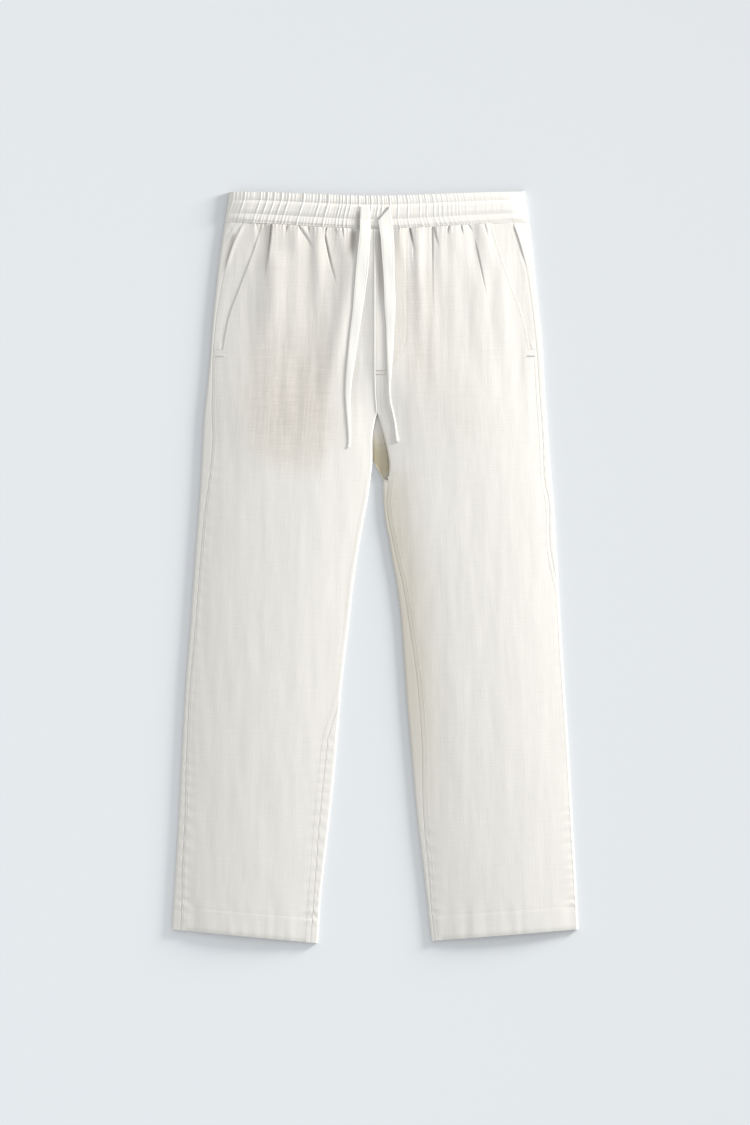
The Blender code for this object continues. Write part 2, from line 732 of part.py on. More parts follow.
def panel(name, rows, flipped, thickness, collection):
    """Make a panel from rows of points on its outer face, with its wall towards the inside."""
    surface = Surface()
    before = None
    for points in rows:
        numbers = surface.row(points)
        if before:
            surface.bridge(before, numbers)
        before = numbers
    if flipped:
        surface.flip()
    piece = surface.make(name, linen(name, LINEN), collection)
    wall = piece.modifiers.new("wall", "SOLIDIFY")
    wall.thickness = thickness * MM
    wall.offset = -1.0
    wall.use_even_offset = True
    wall.use_quality_normals = True
    return piece


def trouser_panels(side, collection):
    """Make the front, back and pocket facing of one side."""
    flipped = side == "right"
    fronts = [front_row(side, row, HIP_COLUMNS) for row in HIP_ROWS]
    fronts += [front_row(side, row, LEG_COLUMNS) for row in CROTCH_ROWS + LEG_ROWS]
    panel("front_" + side, fronts, flipped, CLOTH, collection)
    backs = [back_row(side, row, HIP_UNDER_COLUMNS) for row in HIP_ROWS]
    backs += [back_row(side, row, LEG_UNDER_COLUMNS) for row in CROTCH_ROWS + LEG_ROWS]
    panel("back_" + side, backs, flipped, CLOTH, collection)
    facings = [facing_row(side, row, FACING_COLUMNS) for row in HIP_ROWS if row >= MOUTH_END_ROW]
    panel("pocket_facing_" + side, facings, flipped, FACING_CLOTH, collection)


def gathered_wall(name, rows, inside, flipped, collection):
    """Make a closed wall with a gathered outer face over a plain inside of two rows."""
    surface = Surface()
    outer = [surface.row(points) for points in rows]
    for near, far in zip(outer, outer[1:]):
        surface.bridge(near, far)
    inner_low = surface.row(inside[0])
    inner_top = surface.row(inside[1])
    surface.bridge(inner_top, inner_low)
    surface.bridge(inner_low, outer[0])
    surface.bridge(outer[-1], inner_top)
    first_edge = [row[0] for row in outer]
    last_edge = [row[-1] for row in outer]
    surface.bridge(first_edge, [inner_low[0], inner_top[0]])
    surface.bridge([inner_low[-1], inner_top[-1]], last_edge)
    if flipped:
        surface.flip()
    return surface.make(name, linen(name, LINEN), collection)


def waistband(collection):
    """Make the gathered front band and the back band that runs round under it."""
    shares = BAND_PROFILE["share"]
    columns = band_front_columns()
    rows = [[band_point(base, share, gather) for base, gather in columns] for share in shares]
    inside = []
    for share in (shares[0], shares[-1]):
        inside.append([(band_x(base, share), band_y(base, share), BAND_INSIDE) for base, _ in columns[::3]])
    gathered_wall("waistband_front", rows, inside, False, collection)

    columns = band_back_columns()
    rows = []
    for share in shares:
        row = []
        for base, height, gather in columns:
            if height is None:
                row.append(band_point(base, share, gather))
            else:
                row.append((band_x(base, share), band_y(base, share), height))
        rows.append(row)
    inside = [[band_inner_point(column, share) for column in columns] for share in (shares[0], shares[-1])]
    gathered_wall("waistband_back", rows, inside, True, collection)


def band_inner_point(column, share):
    """Point on the back band's plain inner face, across the wall from a column."""
    base, height, _ = column
    if height is None:
        return (band_x(base, share), band_y(base, share), BAND_INSIDE)
    if height == 0.0:
        return (band_x(base, share), band_y(base, share), BAND_WALL)
    side = "left" if base > 0.0 else "right"
    half = BAND_BOTTOM_HALF[side]
    centre = half - BAND_FOLD_RADIUS
    scale = (BAND_FOLD_RADIUS - BAND_WALL) / BAND_FOLD_RADIUS
    inner = SIDES[side] * (centre + (abs(base) - centre) * scale)
    z = BAND_FOLD_RADIUS + (height - BAND_FOLD_RADIUS) * scale
    return (band_x(inner, share), band_y(inner, share), z)


# ---------------------------------------------------------------- drawstring

def garment_top(x, y):
    """Height of the garment's top face, at the crests of the band's gathers."""
    side = "left" if x > FLY_CENTRE else "right"
    middle = smooth(1.0 - abs(x) / BAND_BOTTOM_HALF[side])
    seam = WAIST_ROW - WAIST_DIP * middle
    share = (y - seam) / (BAND_HEIGHT_SIDE + (BAND_HEIGHT_CENTRE - BAND_HEIGHT_SIDE) * middle)
    if share >= 0.0:
        return band_point(x, min(share, 1.0), 1.0)[2]
    section = Section(side, y + WAIST_DIP * smooth((y - WAIST_DIP_END + WAIST_DIP)
                                                   / (WAIST_ROW - WAIST_DIP_END)))
    depth = abs(x - section.outer)
    return section.top(depth, section.front_width()) + section.relief(x, y, depth)


def drawstring_end(side, collection):
    """Make one free end of the drawstring: a flat tape that rolls up towards its tip."""
    stations = TAPES[side]
    first = stations["y"][-1]
    last = stations["y"][0]
    count = round((first - last) / TAPE_STEP) + 1
    surface = Surface()
    loops = []
    for y in spaced(first, last, count):
        x, width, thickness, slant = (along(stations, name, y) for name in ("x", "width", "thickness", "slant"))
        under = max(garment_top(x + part * width / 2, y + part * slant / 2 + step)
                    for part in (-1, -0.5, 0, 0.5, 1) for step in (-TAPE_STEP / 2, 0, TAPE_STEP / 2))
        loop = []
        for k in range(TAPE_SIDES):
            angle = 2 * math.pi * (k + 0.5) / TAPE_SIDES
            across = math.copysign(abs(math.cos(angle)) ** 0.35, math.cos(angle))
            up = math.copysign(abs(math.sin(angle)) ** 0.7, math.sin(angle))
            loop.append((x + across * width / 2, y + across * slant / 2,
                         under + TAPE_CLEARANCE + thickness / 2 * (1.0 + up)))
        loops.append(surface.row(loop))
    for near, far in zip(loops, loops[1:]):
        surface.bridge(near + near[:1], far + far[:1])
    surface.faces.append(tuple(reversed(loops[0])))
    surface.faces.append(tuple(loops[-1]))
    name = "drawstring_end_" + side
    return surface.make(name, linen(name, TAPE_LINEN), collection)


def main():
    for thing in list(bpy.data.objects):
        bpy.data.objects.remove(thing, do_unlink=True)
    collection = bpy.data.collections.new("linen_drawstring_trousers")
    bpy.context.scene.collection.children.link(collection)
    for side in SIDES:
        trouser_panels(side, collection)
        drawstring_end(side, collection)
    waistband(collection)


main()
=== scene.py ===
"""Linen drawstring trousers laid flat, face up: cloth, gathers, stitching and drawstring.

Sizes are in millimetres and MM turns them into metres. +Y runs to the waist, +X to the wearer's
left, and the trousers lie on the surface at z = 0.
"""

import bisect
import math
import random

import bpy
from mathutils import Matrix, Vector, noise


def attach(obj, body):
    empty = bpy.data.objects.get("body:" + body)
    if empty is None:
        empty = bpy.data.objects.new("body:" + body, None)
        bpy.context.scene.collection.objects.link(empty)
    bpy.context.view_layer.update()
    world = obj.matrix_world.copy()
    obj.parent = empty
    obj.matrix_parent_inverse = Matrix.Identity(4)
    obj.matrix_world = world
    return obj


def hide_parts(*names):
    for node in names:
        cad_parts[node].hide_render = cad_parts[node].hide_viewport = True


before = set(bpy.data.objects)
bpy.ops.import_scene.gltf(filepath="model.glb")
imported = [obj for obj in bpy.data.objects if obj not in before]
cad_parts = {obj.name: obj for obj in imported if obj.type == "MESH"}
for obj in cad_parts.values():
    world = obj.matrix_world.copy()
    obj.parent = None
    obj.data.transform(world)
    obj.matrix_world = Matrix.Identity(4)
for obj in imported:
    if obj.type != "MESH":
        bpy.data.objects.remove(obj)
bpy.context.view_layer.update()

MM = 0.001

SIDES = {"right": -1.0, "left": 1.0}

# Cloth
CLOTH = 0.5                 # wall of a shown panel
SEAM_GAP = 0.12             # between two panels on the top face
FOLD_SEAM_GAP = 0.18        # and where their seam lies on a fold
FOLD_RADIUS = 2.2           # outside of a leg's side folds
QUARTER_FOLD = FOLD_RADIUS * math.pi / 2
SEAM_DIP = 0.14             # how far an edge rolls down into its seam
SEAM_DIP_OVER = 0.9
SEAM_SHADE = 0.10
SEAM_SHADE_OVER = 0.8
CENTRE_DIP = 0.7            # share of that dip at the centre and inner leg seams
WAIST_SEAM_DIP = 1.5        # and at the waistband's seam, with its shade
WAIST_SEAM_SHADE = 1.3

# Form of the laid cloth
HIP_FULLER = 1.6            # how much fuller the cloth lies than its solid
LEG_FULLER = 2.9
CENTRE_FULLER = 1.6         # and along the front seam, where the fly's layers lie
CENTRE_SPREAD = 95.0
HIP_SPREAD = 110.0          # how far in from a fold the cloth reaches its crown
LEG_SPREAD = 95.0
SUNK_FROM = 285.0           # the crown of the hips parts into two legs from here down
SUNK_OVER = 90.0
CURL_OVER = 14.0            # and the fronts' inner edges turn down over this much of it

# Pleats: how far one fades in before its start and out before its end, as shares of its length
SOFT_LEAD = 0.25
SOFT_TAIL = 0.7
PLEAT_LEAD = 0.1
PLEAT_LEAD_OVER = 0.25
PLEAT_TAIL = 0.8
PLEAT_STEP_OVER = 0.7       # half widths of a sharp pleat's step, crease and shade
PLEAT_CUT_OVER = 0.9
PLEAT_SHADE_OVER = 1.1
PLEAT_CUT = 1.2             # depth of a crease for each millimetre of its cut
HOLLOW_LEAD = 0.12
HOLLOW_TAIL = 0.5
PUCKER_REACH = 28.0         # how far from its seam a pucker can be seen
PUCKER_OVER = 11.0
PUCKER_ENDS = 25.0
RIPPLE_HEIGHT = 0.9         # small gathers just below the waistband
RIPPLE_OVER = 8.0
RIPPLE_LEAST = 0.01
UNDER_PLEATS = 0.9          # soft folds of the underside
UNDER_DRIFT = 0.25

# Levels along the cloth
WAIST_ROW = 461.0
HEM_ROW = -485.5
WAIST_DIP = 8.7             # how far the waist seam hangs at the centre
WAIST_DIP_END = 330.0
HEM_SLANT = {"right": 18.5, "left": 15.5}
HEM_SLANT_END = -300.0
HEM_DEPTH = 34.0
HEM_RISE = 0.14
APEX_ROW = 206.0            # the fronts part
BACK_SPLIT_ROW = 143.0      # the backs part
FRONT_JOIN_ROW = 120.0      # each front meets its back along the inner leg
LEG_FORM_ROW = 116.0        # each leg is a closed tube

# Slanted pockets
MOUTH_END_ROW = 291.0
MOUTH_LIFT = 0.05
MOUTH_SPREAD = 30.0
MOUTH_ROLL = 0.3            # how far the right front's edge rolls down at its mouth
MOUTH_ROLL_OVER = 0.45
FACING_UNDER = 10.0         # how far the facing runs on under the front
FACING_CLEARANCE = 0.10

# Closed fly
FLY_WIDTH = 43.0
FLY_LOW = 260.0             # lowest point of its J
FLY_CURVE = 55.0            # height of the J's curve
FLY_RISE = 0.12
FLY_CENTRE = 1.0
FLY_TOP = 450.0
FLY_STITCH_IN = 2.0
FLY_STRAIGHT = 0.55         # share of its stitches that lie above the J
TOPSTITCH_GROOVE = 0.22     # how deep topstitching draws in the fly's edge and the hem
CENTRE_STAND = 1.0          # the right front stands up towards the centre seam
CENTRE_STAND_OVER = 11.0
CENTRE_LIP = 0.7            # and rolls down into it
CENTRE_LIP_IN = 1.3
CENTRE_LIP_OVER = 1.3

# Waistband
BAND_FOLD_RADIUS = 3.0
BAND_BOTTOM_HALF = {"right": 201.0, "left": 205.5}
BAND_TAPER = 0.032
BAND_LEAN = 4.2             # how far the gathers lean away from the centre
BAND_LEAN_OVER = 200.0
BAND_CROWN = 25.0
BAND_HEIGHT_SIDE = 41.0
BAND_HEIGHT_CENTRE = 44.3
BAND_SEAM = {"right": 176.5, "left": 185.0}
BAND_END_SINK = 1.4         # the lower edge lies lower towards the side folds
STITCH_SHARES = (0.06, 0.30, 0.745)    # the band's three rows of stitching
STITCH_GROOVE = 0.45
STITCH_GROOVE_OVER = 0.9
DRAWN_LEAST = 0.3           # how strongly a seam draws in cloth that isn't gathered
GATHER_SEED = 11
GATHER_GAPS = {"channel": 5.2, "header": 4.4, "lower": 4.6}     # widest gap without a small ridge
RIDGE_WIDTHS = {"lower": 1.25, "channel": 0.95, "header": 1.15}
FRILL_FROM = 0.9            # the top edge waves from this share of the height up

# Points of the shown meshes: columns, rows, and their distances in from a front's edge, from the
# strip of the front beside its side seam and from a back's edge
LEG_COLUMNS = 103
HIP_COLUMNS = 2 * LEG_COLUMNS + 1
HIP_END_ROW = 248.0         # the finer columns end here
BACK_COLUMNS = 44
FACING_COLUMNS = 30
FOLD_STEPS = 6              # columns round a fold of the back, and from there to its seam
TOP_STEPS = 8
BAND_COLUMN = 0.65          # distance between two columns of the front band
BAND_WRAP_COLUMN = 0.8
BAND_FOLD_STEPS = 10
BAND_UNDER_COLUMNS = 260
BAND_ROWS = 48
FRONT_EDGE = (0.0, 0.3, 0.8, 1.4, 2.1, 3.0, 4.0, 5.2, 6.6, 8.0)
STRIP_EDGE = (0.0, 0.3, 0.8, 1.4, 2.1, 3.0, 4.0, 5.2, 6.4)
BACK_EDGE = 0.3
SHARP_ANGLE = math.radians(50.0)        # a shell's rim is shaded as an edge above this angle

# Threads
WEAVE = 0.74                # distance between two threads of the weave
STITCH_PITCH = 3.1
STITCH_LENGTH = 2.5
STITCH_THREAD = 0.42
TACK_STITCH = (0.62, 0.75, 1.9)         # pitch, length and thread of the bar tacks
BAND_STITCH = (2.8, 2.2)                # pitch and length along the waistband
SIDE_STITCH_IN = 4.0        # distance of a line of stitches from its edge
INNER_STITCH_IN = 6.4
MOUTH_STITCH_IN = 2.0
HEM_STITCH_IN = 2.0
STITCH_ABOVE = 0.05         # height of a stitch's middle above the cloth
TACK_ABOVE = 0.12
BAND_STITCH_ABOVE = 0.08

# Colours, and the linen's tones: over pocket bags, painted shade, and painted light on the band
LINEN = (0.690, 0.675, 0.638, 1.0)
TAPE_LINEN = (0.805, 0.795, 0.750, 1.0)
THREAD_COLOUR = (0.72, 0.71, 0.67, 1.0)
THREAD_SHADE = (0.63, 0.62, 0.57, 1.0)
# pocket bags showing through, and painted shade over the fly and the wearer's right hip
BAG_AND_SHADE_TONE = (0.835, 0.800, 0.765, 1.0)
# painted shade of the back's inside at the crotch and of the inner leg edges
INSIDE_SHADE_TONE = (0.70, 0.64, 0.49, 1.0)
# painted shade in creases, seams, stitch grooves and hollows
CREASE_SHADE_TONE = (0.30, 0.27, 0.22, 1.0)
# painted light on the band, towards the lamp's side
PAINTED_LIGHT_TONE = (1.09, 1.09, 1.09)
FLOOR_COLOUR = (0.672, 0.700, 0.722)

# Light: one low soft lamp from the upper right, in metres and watts, and an even world
LAMP_POWER = 174.0
LAMP_SIZE = 0.83
LAMP_DISTANCE = 3.0
LAMP_AZIMUTH = math.radians(28.0)
LAMP_HEIGHT_ANGLE = math.radians(11.5)
LAMP_SHARE = 0.33           # the lamp's share of the light on the surface
LAMP_COLOUR = (1.0, 0.985, 0.96)
WORLD_COLOUR = (0.985, 0.992, 1.0, 1.0)
WORLD_STRENGTH = 0.80
FLOOR_HALF = 12.0

# Camera: straight down, and what its picture covers
VIEW_HEIGHT = 1507.5
VIEW_CENTRE = (0.3, 5.7)
CAMERA_HEIGHT = 6.0
SENSOR = 36.0


def table(columns, rows):
    """Give each named column of a table as a list, in rows from the hem up to the waist."""
    ordered = sorted(rows)
    return {name: [row[place] for row in ordered] for place, name in enumerate(columns.split())}


OUTLINE = table("y right_outer left_outer crown", [
    (461.0, -201.0, 205.5, 7.4),
    (422.0, -207.0, 210.6, 7.4),
    (375.0, -212.5, 215.3, 7.3),
    (331.0, -217.0, 220.0, 7.2),
    (288.0, -220.0, 224.0, 7.1),
    (245.0, -224.0, 226.3, 7.0),
    (197.0, -229.0, 229.7, 6.9),
    (143.0, -231.8, 233.7, 6.9),
    (89.0, -235.0, 238.4, 6.9),
    (9.0, -241.0, 243.2, 6.9),
    (-71.0, -246.7, 248.0, 6.9),
    (-152.0, -253.0, 253.0, 6.9),
    (-259.0, -259.0, 260.0, 6.8),
    (-339.0, -263.0, 264.4, 6.7),
    (-420.0, -268.0, 269.0, 6.5),
    (-485.5, -272.0, 272.4, 6.2),
])

CENTRE_SEAM = table("y front back", [
    (461.0, 1.0, 0.0),
    (260.0, 1.0, -1.2),
    (230.0, 1.8, -1.6),
    (206.0, 3.4, -1.9),
    (143.0, 3.4, -2.6),
])

BACK_INNER = table("y right left", [
    (143.0, -2.6, -2.6),
    (130.0, -4.2, 4.0),
    (116.0, -6.0, 10.6),
    (89.0, -10.0, 11.4),
    (63.0, -15.0, 13.8),
    (36.0, -20.0, 18.8),
    (9.0, -24.5, 23.3),
    (-18.0, -28.5, 28.4),
    (-71.0, -34.5, 35.3),
    (-125.0, -41.0, 39.2),
    (-179.0, -46.6, 42.9),
    (-259.0, -53.0, 49.8),
    (-339.0, -61.0, 57.2),
    (-404.0, -68.5, 65.0),
    (-442.0, -72.6, 69.4),
    (-504.0, -76.4, 76.0),
])

FRONT_INNER = table("y right left", [
    (206.0, 3.4, 3.4),
    (200.0, 2.0, 4.4),
    (194.0, 0.4, 6.4),
    (185.0, -1.4, 9.0),
    (176.0, -2.8, 11.6),
    (166.0, -3.2, 14.2),
    (152.0, -3.0, 17.3),
    (136.0, -3.4, 19.4),
    (120.0, -5.4, 18.4),
])

# Line that the top face falls away to, past the crotch
FORM_INNER = table("y right left", [
    (206.0, 3.4, 3.4),
    (190.0, 0.5, 4.6),
    (166.0, -1.6, 6.6),
    (143.0, -2.9, 8.6),
    (116.0, -6.0, 10.6),
])

SEAM_INSET = table("y right_outer left_outer right_inner left_inner", [
    (461.0, 24.5, 20.5, 0.0, 7.5),
    (440.0, 17.5, 16.0, 0.0, 7.5),
    (422.0, 13.5, 13.0, 0.0, 7.5),
    (395.0, 9.0, 9.5, 0.0, 7.5),
    (331.0, 4.5, 7.5, 0.0, 7.5),
    (290.0, 3.5, 7.0, 0.0, 7.5),
    (245.0, 6.5, 6.5, 0.0, 7.5),
    (197.0, 11.0, 6.5, 0.0, 7.5),
    (170.0, 13.5, 6.8, 0.0, 7.5),
    (116.0, 11.4, 8.8, 0.0, 7.0),
    (83.0, 8.8, 5.4, 0.0, 4.2),
    (33.0, 7.3, 7.6, 0.0, 5.0),
    (-10.0, 7.2, 3.0, 0.0, 7.2),
    (-30.0, 7.2, 0.0, 0.0, 8.2),
    (-71.0, 7.0, 0.0, 0.0, 9.8),
    (-125.0, 6.4, 0.0, 0.0, 14.0),
    (-165.0, 5.7, 0.0, 0.0, 16.2),
    (-179.0, 5.6, 0.0, 1.0, 16.4),
    (-192.0, 5.7, 0.0, 3.4, 16.3),
    (-208.0, 5.8, 0.0, 7.4, 16.2),
    (-235.0, 6.1, 0.0, 12.4, 15.4),
    (-299.0, 7.4, 0.0, 13.4, 10.6),
    (-339.0, 8.6, 0.0, 13.0, 8.6),
    (-404.0, 9.0, 0.0, 9.8, 6.4),
    (-442.0, 11.0, 0.0, 9.0, 4.8),
    (-485.5, 12.0, 0.0, 9.8, 4.5),
])

MOUTH_INSET = table("y right left", [
    (461.0, 50.5, 49.5),
    (419.0, 42.8, 42.0),
    (375.0, 31.4, 31.0),
    (332.0, 20.4, 20.8),
    (291.0, 15.4, 15.8),
])

BACK_CURL = table("y right_angle left_angle right_length left_length", [
    (461.0, 0.0, 0.0, 3.2, 3.2),
    (143.0, 0.0, 0.0, 3.2, 3.2),
    (136.0, 60.0, 25.0, 2.6, 3.6),
    (130.0, 90.0, 60.0, 3.2, 4.4),
    (123.0, 90.0, 110.0, 3.2, 5.5),
])
FULL_CURL_ROW = {"right": 130.0, "left": 116.0}

# Soft pleats under the waistband: start and end as y and x, half width, height
SOFT_FOLDS = (
    (402.0, -134.0, 285.0, -143.0, 16.0, 1.7),
    (458.0, -160.0, 415.0, -161.0, 6.0, 0.8),
    (452.0, -152.0, 370.0, -162.0, 8.0, -0.6),
    (455.0, -108.0, 405.0, -106.0, 8.0, 0.7),
    (454.0, -77.0, 300.0, -72.0, 9.0, 1.2),
    (452.0, -88.0, 330.0, -90.0, 11.0, -0.8),
    (453.0, -46.0, 400.0, -40.0, 8.0, 0.8),
    (456.0, -27.0, 402.0, -27.0, 6.5, -2.2),
    (440.0, -21.0, 150.0, -78.0, 13.0, 2.0),
    (410.0, -66.0, 200.0, -112.0, 18.0, -0.7),
    (453.0, 33.0, 400.0, 36.0, 7.0, 0.8),
    (455.0, 57.0, 270.0, 63.0, 7.0, 1.3),
    (455.0, 88.0, 340.0, 90.0, 7.0, 0.8),
    (454.0, 107.0, 405.0, 110.0, 8.0, 0.6),
    (450.0, 131.0, 365.0, 141.0, 7.0, -0.8),
    (456.0, 146.0, 380.0, 160.0, 9.0, 0.7),
    (300.0, -150.0, 120.0, -158.0, 22.0, 0.5),
    (250.0, 120.0, 60.0, 130.0, 24.0, 0.5),
)

# Sharp pleats: start and end as y and x, sideways bend, step up to the right, how far that
# fades, depth of the crease, its shade
PLEATS = (
    (460.0, -138.2, 381.0, -148.7, 1.0, 3.0, 9.0, 1.5, 0.62),
    (459.0, -158.0, 444.0, -155.5, 0.0, 0.8, 4.0, 0.8, 0.35),
    (459.0, -147.0, 450.0, -148.0, 0.0, 0.6, 3.5, 0.5, 0.25),
    (458.0, -117.0, 446.0, -119.0, 0.0, 0.8, 4.0, 0.8, 0.40),
    (456.0, -101.5, 422.0, -81.5, 1.5, 1.2, 7.0, 0.9, 0.35),
    (455.0, -89.0, 445.0, -87.5, 0.0, 0.6, 3.5, 0.7, 0.30),
    (456.0, -64.2, 444.0, -67.0, 0.0, 0.9, 6.0, 1.0, 0.50),
    (446.0, -67.2, 368.0, -48.5, -1.2, 0.7, 7.0, 1.2, 0.55),
    (453.0, -52.0, 440.0, -50.0, 0.0, 0.5, 3.0, 0.4, 0.15),
    (452.0, -43.0, 436.0, -41.0, 0.0, 0.5, 3.0, 0.4, 0.20),
    (452.0, -30.0, 416.0, -20.5, 0.0, 0.9, 6.0, 0.8, 0.35),
    (455.0, 46.6, 422.0, 53.6, 0.0, 1.2, 6.0, 1.6, 0.75),
    (428.0, 51.4, 404.0, 50.6, 0.0, -0.6, 4.0, 0.2, 0.05),
    (456.0, 77.0, 398.0, 77.8, 0.0, 0.3, 7.0, 0.6, 0.30),
    (456.0, 77.0, 316.0, 78.2, 0.0, 0.5, 7.0, 0.2, 0.08),
    (455.0, 79.0, 425.0, 86.0, 0.0, 0.9, 5.0, 0.6, 0.30),
    (456.0, 99.2, 443.0, 96.8, 0.0, 0.8, 4.0, 0.8, 0.35),
    (457.0, 115.6, 443.0, 118.4, 0.0, 0.7, 4.0, 0.7, 0.30),
    (457.0, 126.0, 448.0, 131.5, 0.0, 0.5, 3.0, 0.6, 0.25),
    (434.0, 134.6, 352.0, 150.8, 0.8, 0.5, 8.0, 0.6, 0.34),
    (459.0, 147.0, 440.0, 152.0, 0.0, 0.5, 4.0, 0.4, 0.15),
)

FREE_PLEATS_BELOW = 446.5   # pleats that start lower than this don't come out of the band

# Unevenness of laid linen: height, size across, size along, slice of the noise, and where
UNEVENNESS = (
    (0.26, 17.0, 80.0, 1.5, "all"),
    (0.10, 8.0, 34.0, 4.5, "all"),
    (0.50, 19.0, 120.0, 7.5, "hip"),
    (0.10, 7.0, 70.0, 9.5, "hip"),
    (0.045, 3.4, 40.0, 11.5, "waist"),
    (0.36, 11.0, 55.0, 2.5, "hem"),
)

# Deep hollows that little light reaches: start and end as y and x, half width, strength
HOLLOWS = (
    (478.0, -22.0, 437.0, -23.0, 2.8, 0.50),
    (452.0, -27.5, 408.0, -33.0, 6.0, 0.58),
    (456.0, 6.5, 335.0, 8.0, 4.8, 0.48),
    (483.0, 19.2, 461.0, 2.8, 1.5, 0.60),
    (450.0, -187.5, 378.0, -204.5, 3.8, 0.50),
)

# How the back's cloth stands up between the legs: height, x, half width, y, half length
CROTCH_STAND = (1.8, 5.0, 15.0, 174.0, 26.0)
CROTCH_SEAM_ROW = 163.0

# How far the back and the facing stand up at the top of the side seam that they share
BACK_STAND = {"right": 0.0, "left": 0.75}
FACING_STAND = {"right": 0.6, "left": -0.4}

# Small gathers on the right back beside its seam: distance apart, height, lowest row, slant
STRIP_GATHERS = (7.4, 0.62, 430.0, 0.6)

# Puckers where a seam draws the cloth in: side, seam, top row, bottom row, depth, wavelength
PUCKERS = (
    ("right", "inner", -210.0, -480.0, 0.42, 15.0),
    ("right", "outer", -240.0, -480.0, 0.30, 17.0),
    ("left", "outer", -300.0, -470.0, 0.55, 13.0),
    ("left", "inner", -330.0, -470.0, 0.22, 16.0),
    ("right", "outer", 150.0, -240.0, 0.14, 19.0),
    ("left", "outer", 250.0, -300.0, 0.14, 18.0),
)

# Waistband profile from its lower seam (0) to its top edge (1): height, and strength of the ridges
BAND_PROFILE = table("share height ridge", [
    (0.00, 6.9, 0.48),
    (0.14, 7.6, 0.66),
    (0.30, 7.4, 0.42),
    (0.44, 8.3, 0.72),
    (0.62, 8.4, 0.84),
    (0.745, 7.7, 0.55),
    (0.86, 7.9, 0.96),
    (1.00, 7.4, 1.10),
])

# Places of the channel's stronger folds, across the band
CHANNEL_FOLDS = (
    -203.0, -191.3, -176.5, -155.1, -145.7, -136.3, -127.0, -117.6, -97.5, -76.0, -64.0, -47.9, -43.9,
    -38.5, -33.2, -22.0, -12.0, -5.4, 3.8, 9.7, 20.0, 31.2, 44.6, 60.6, 69.3, 79.4, 85.4, 91.5, 98.2,
    103.5, 108.9, 112.9, 122.0, 135.7, 149.0, 158.0, 171.0, 181.0, 193.0, 204.0,
)

# How strongly the band is gathered, along its lower seam
GATHER_STRENGTH = table("base strength", [
    (-206.0, 0.75),
    (-150.0, 1.00),
    (-40.0, 0.95),
    (0.0, 0.86),
    (60.0, 0.56),
    (105.0, 0.38),
    (135.0, 0.22),
    (165.0, 0.12),
    (206.0, 0.10),
])

# Free ends of the drawstring: height on the cloth, x, width, thickness, slant, lift
TAPES = {
    "right": table("y x width thickness slant lift", [
        (483.0, -13.0, 12.2, 1.6, 0.0, 0.0),
        (470.0, -13.0, 13.0, 1.6, 0.0, 0.4),
        (453.0, -13.0, 14.2, 1.6, 0.0, 0.7),
        (425.0, -15.0, 15.6, 1.5, 0.0, 1.0),
        (398.0, -17.0, 16.4, 1.5, 0.0, 0.8),
        (370.0, -20.0, 15.2, 1.6, 0.0, 0.5),
        (344.0, -23.0, 13.6, 1.7, 0.0, 0.3),
        (310.0, -27.6, 12.0, 1.7, 0.0, 0.2),
        (274.0, -32.0, 10.4, 1.7, 0.0, 0.1),
        (250.0, -34.8, 8.6, 1.7, 0.0, 0.0),
        (228.0, -36.0, 7.0, 1.6, 0.0, 0.0),
        (193.0, -34.9, 4.4, 1.5, 0.0, 0.0),
        (175.0, -34.0, 3.6, 1.4, 0.0, 0.0),
        (166.0, -34.2, 3.1, 1.3, 0.0, 0.0),
        (159.0, -36.0, 2.6, 1.2, 0.0, 0.2),
    ]),
    "left": table("y x width thickness slant lift", [
        (473.0, 12.0, 15.6, 1.8, 19.0, 0.0),
        (463.0, 13.6, 17.0, 1.7, 10.0, 0.6),
        (452.0, 15.2, 17.4, 1.6, 2.0, 1.2),
        (434.0, 17.0, 17.4, 1.6, 0.0, 1.6),
        (410.0, 18.0, 16.0, 1.6, 0.0, 1.5),
        (387.0, 19.0, 14.7, 1.8, 0.0, 1.0),
        (355.0, 20.0, 14.7, 1.9, 0.0, 0.5),
        (320.0, 20.4, 10.7, 1.8, 0.0, 0.2),
        (290.0, 20.2, 8.8, 1.8, 0.0, 0.1),
        (274.0, 19.9, 7.2, 1.8, 0.0, 0.0),
        (255.0, 19.5, 4.6, 1.7, 0.0, 0.0),
        (239.5, 19.4, 2.7, 1.6, 0.0, 0.0),
        (222.0, 20.7, 2.3, 1.5, 0.0, 0.0),
        (207.0, 24.0, 2.3, 1.5, 0.0, 0.0),
        (193.0, 26.9, 2.4, 1.5, 0.0, 0.0),
        (180.0, 28.6, 2.9, 1.7, 0.0, 0.0),
        (176.0, 29.2, 3.9, 2.0, 0.0, 0.0),
        (167.0, 30.4, 4.1, 2.0, 0.0, 0.0),
    ]),
}
TAPE_WIDTH = 16.4           # width of the tape where it lies open
TAPE_AROUND = 32            # points round it
TAPE_STEP = 2.2             # distance between two rounds
TAPE_CLEARANCE = 0.08
TAPE_HEM = 0.78             # where its two hemmed edges are stitched, as a share of its half width
TAPE_THIN = 0.56            # the open tape against its solid's thickness
TAPE_ROLLED = 0.32          # and how much thicker it is where it rolls in


# ---------------------------------------------------------------- numbers

def tangents(places, values):
    """Slopes of a smooth curve through a column, which never overshoots."""
    last = len(places) - 1
    slopes = [(values[k + 1] - values[k]) / (places[k + 1] - places[k]) for k in range(last)]
    found = [slopes[0]]
    for k in range(1, last):
        before = slopes[k - 1]
        after = slopes[k]
        if before * after <= 0.0:
            found.append(0.0)
        else:
            found.append(2.0 * before * after / (before + after))
    found.append(slopes[-1])
    return found


known_tangents = {}


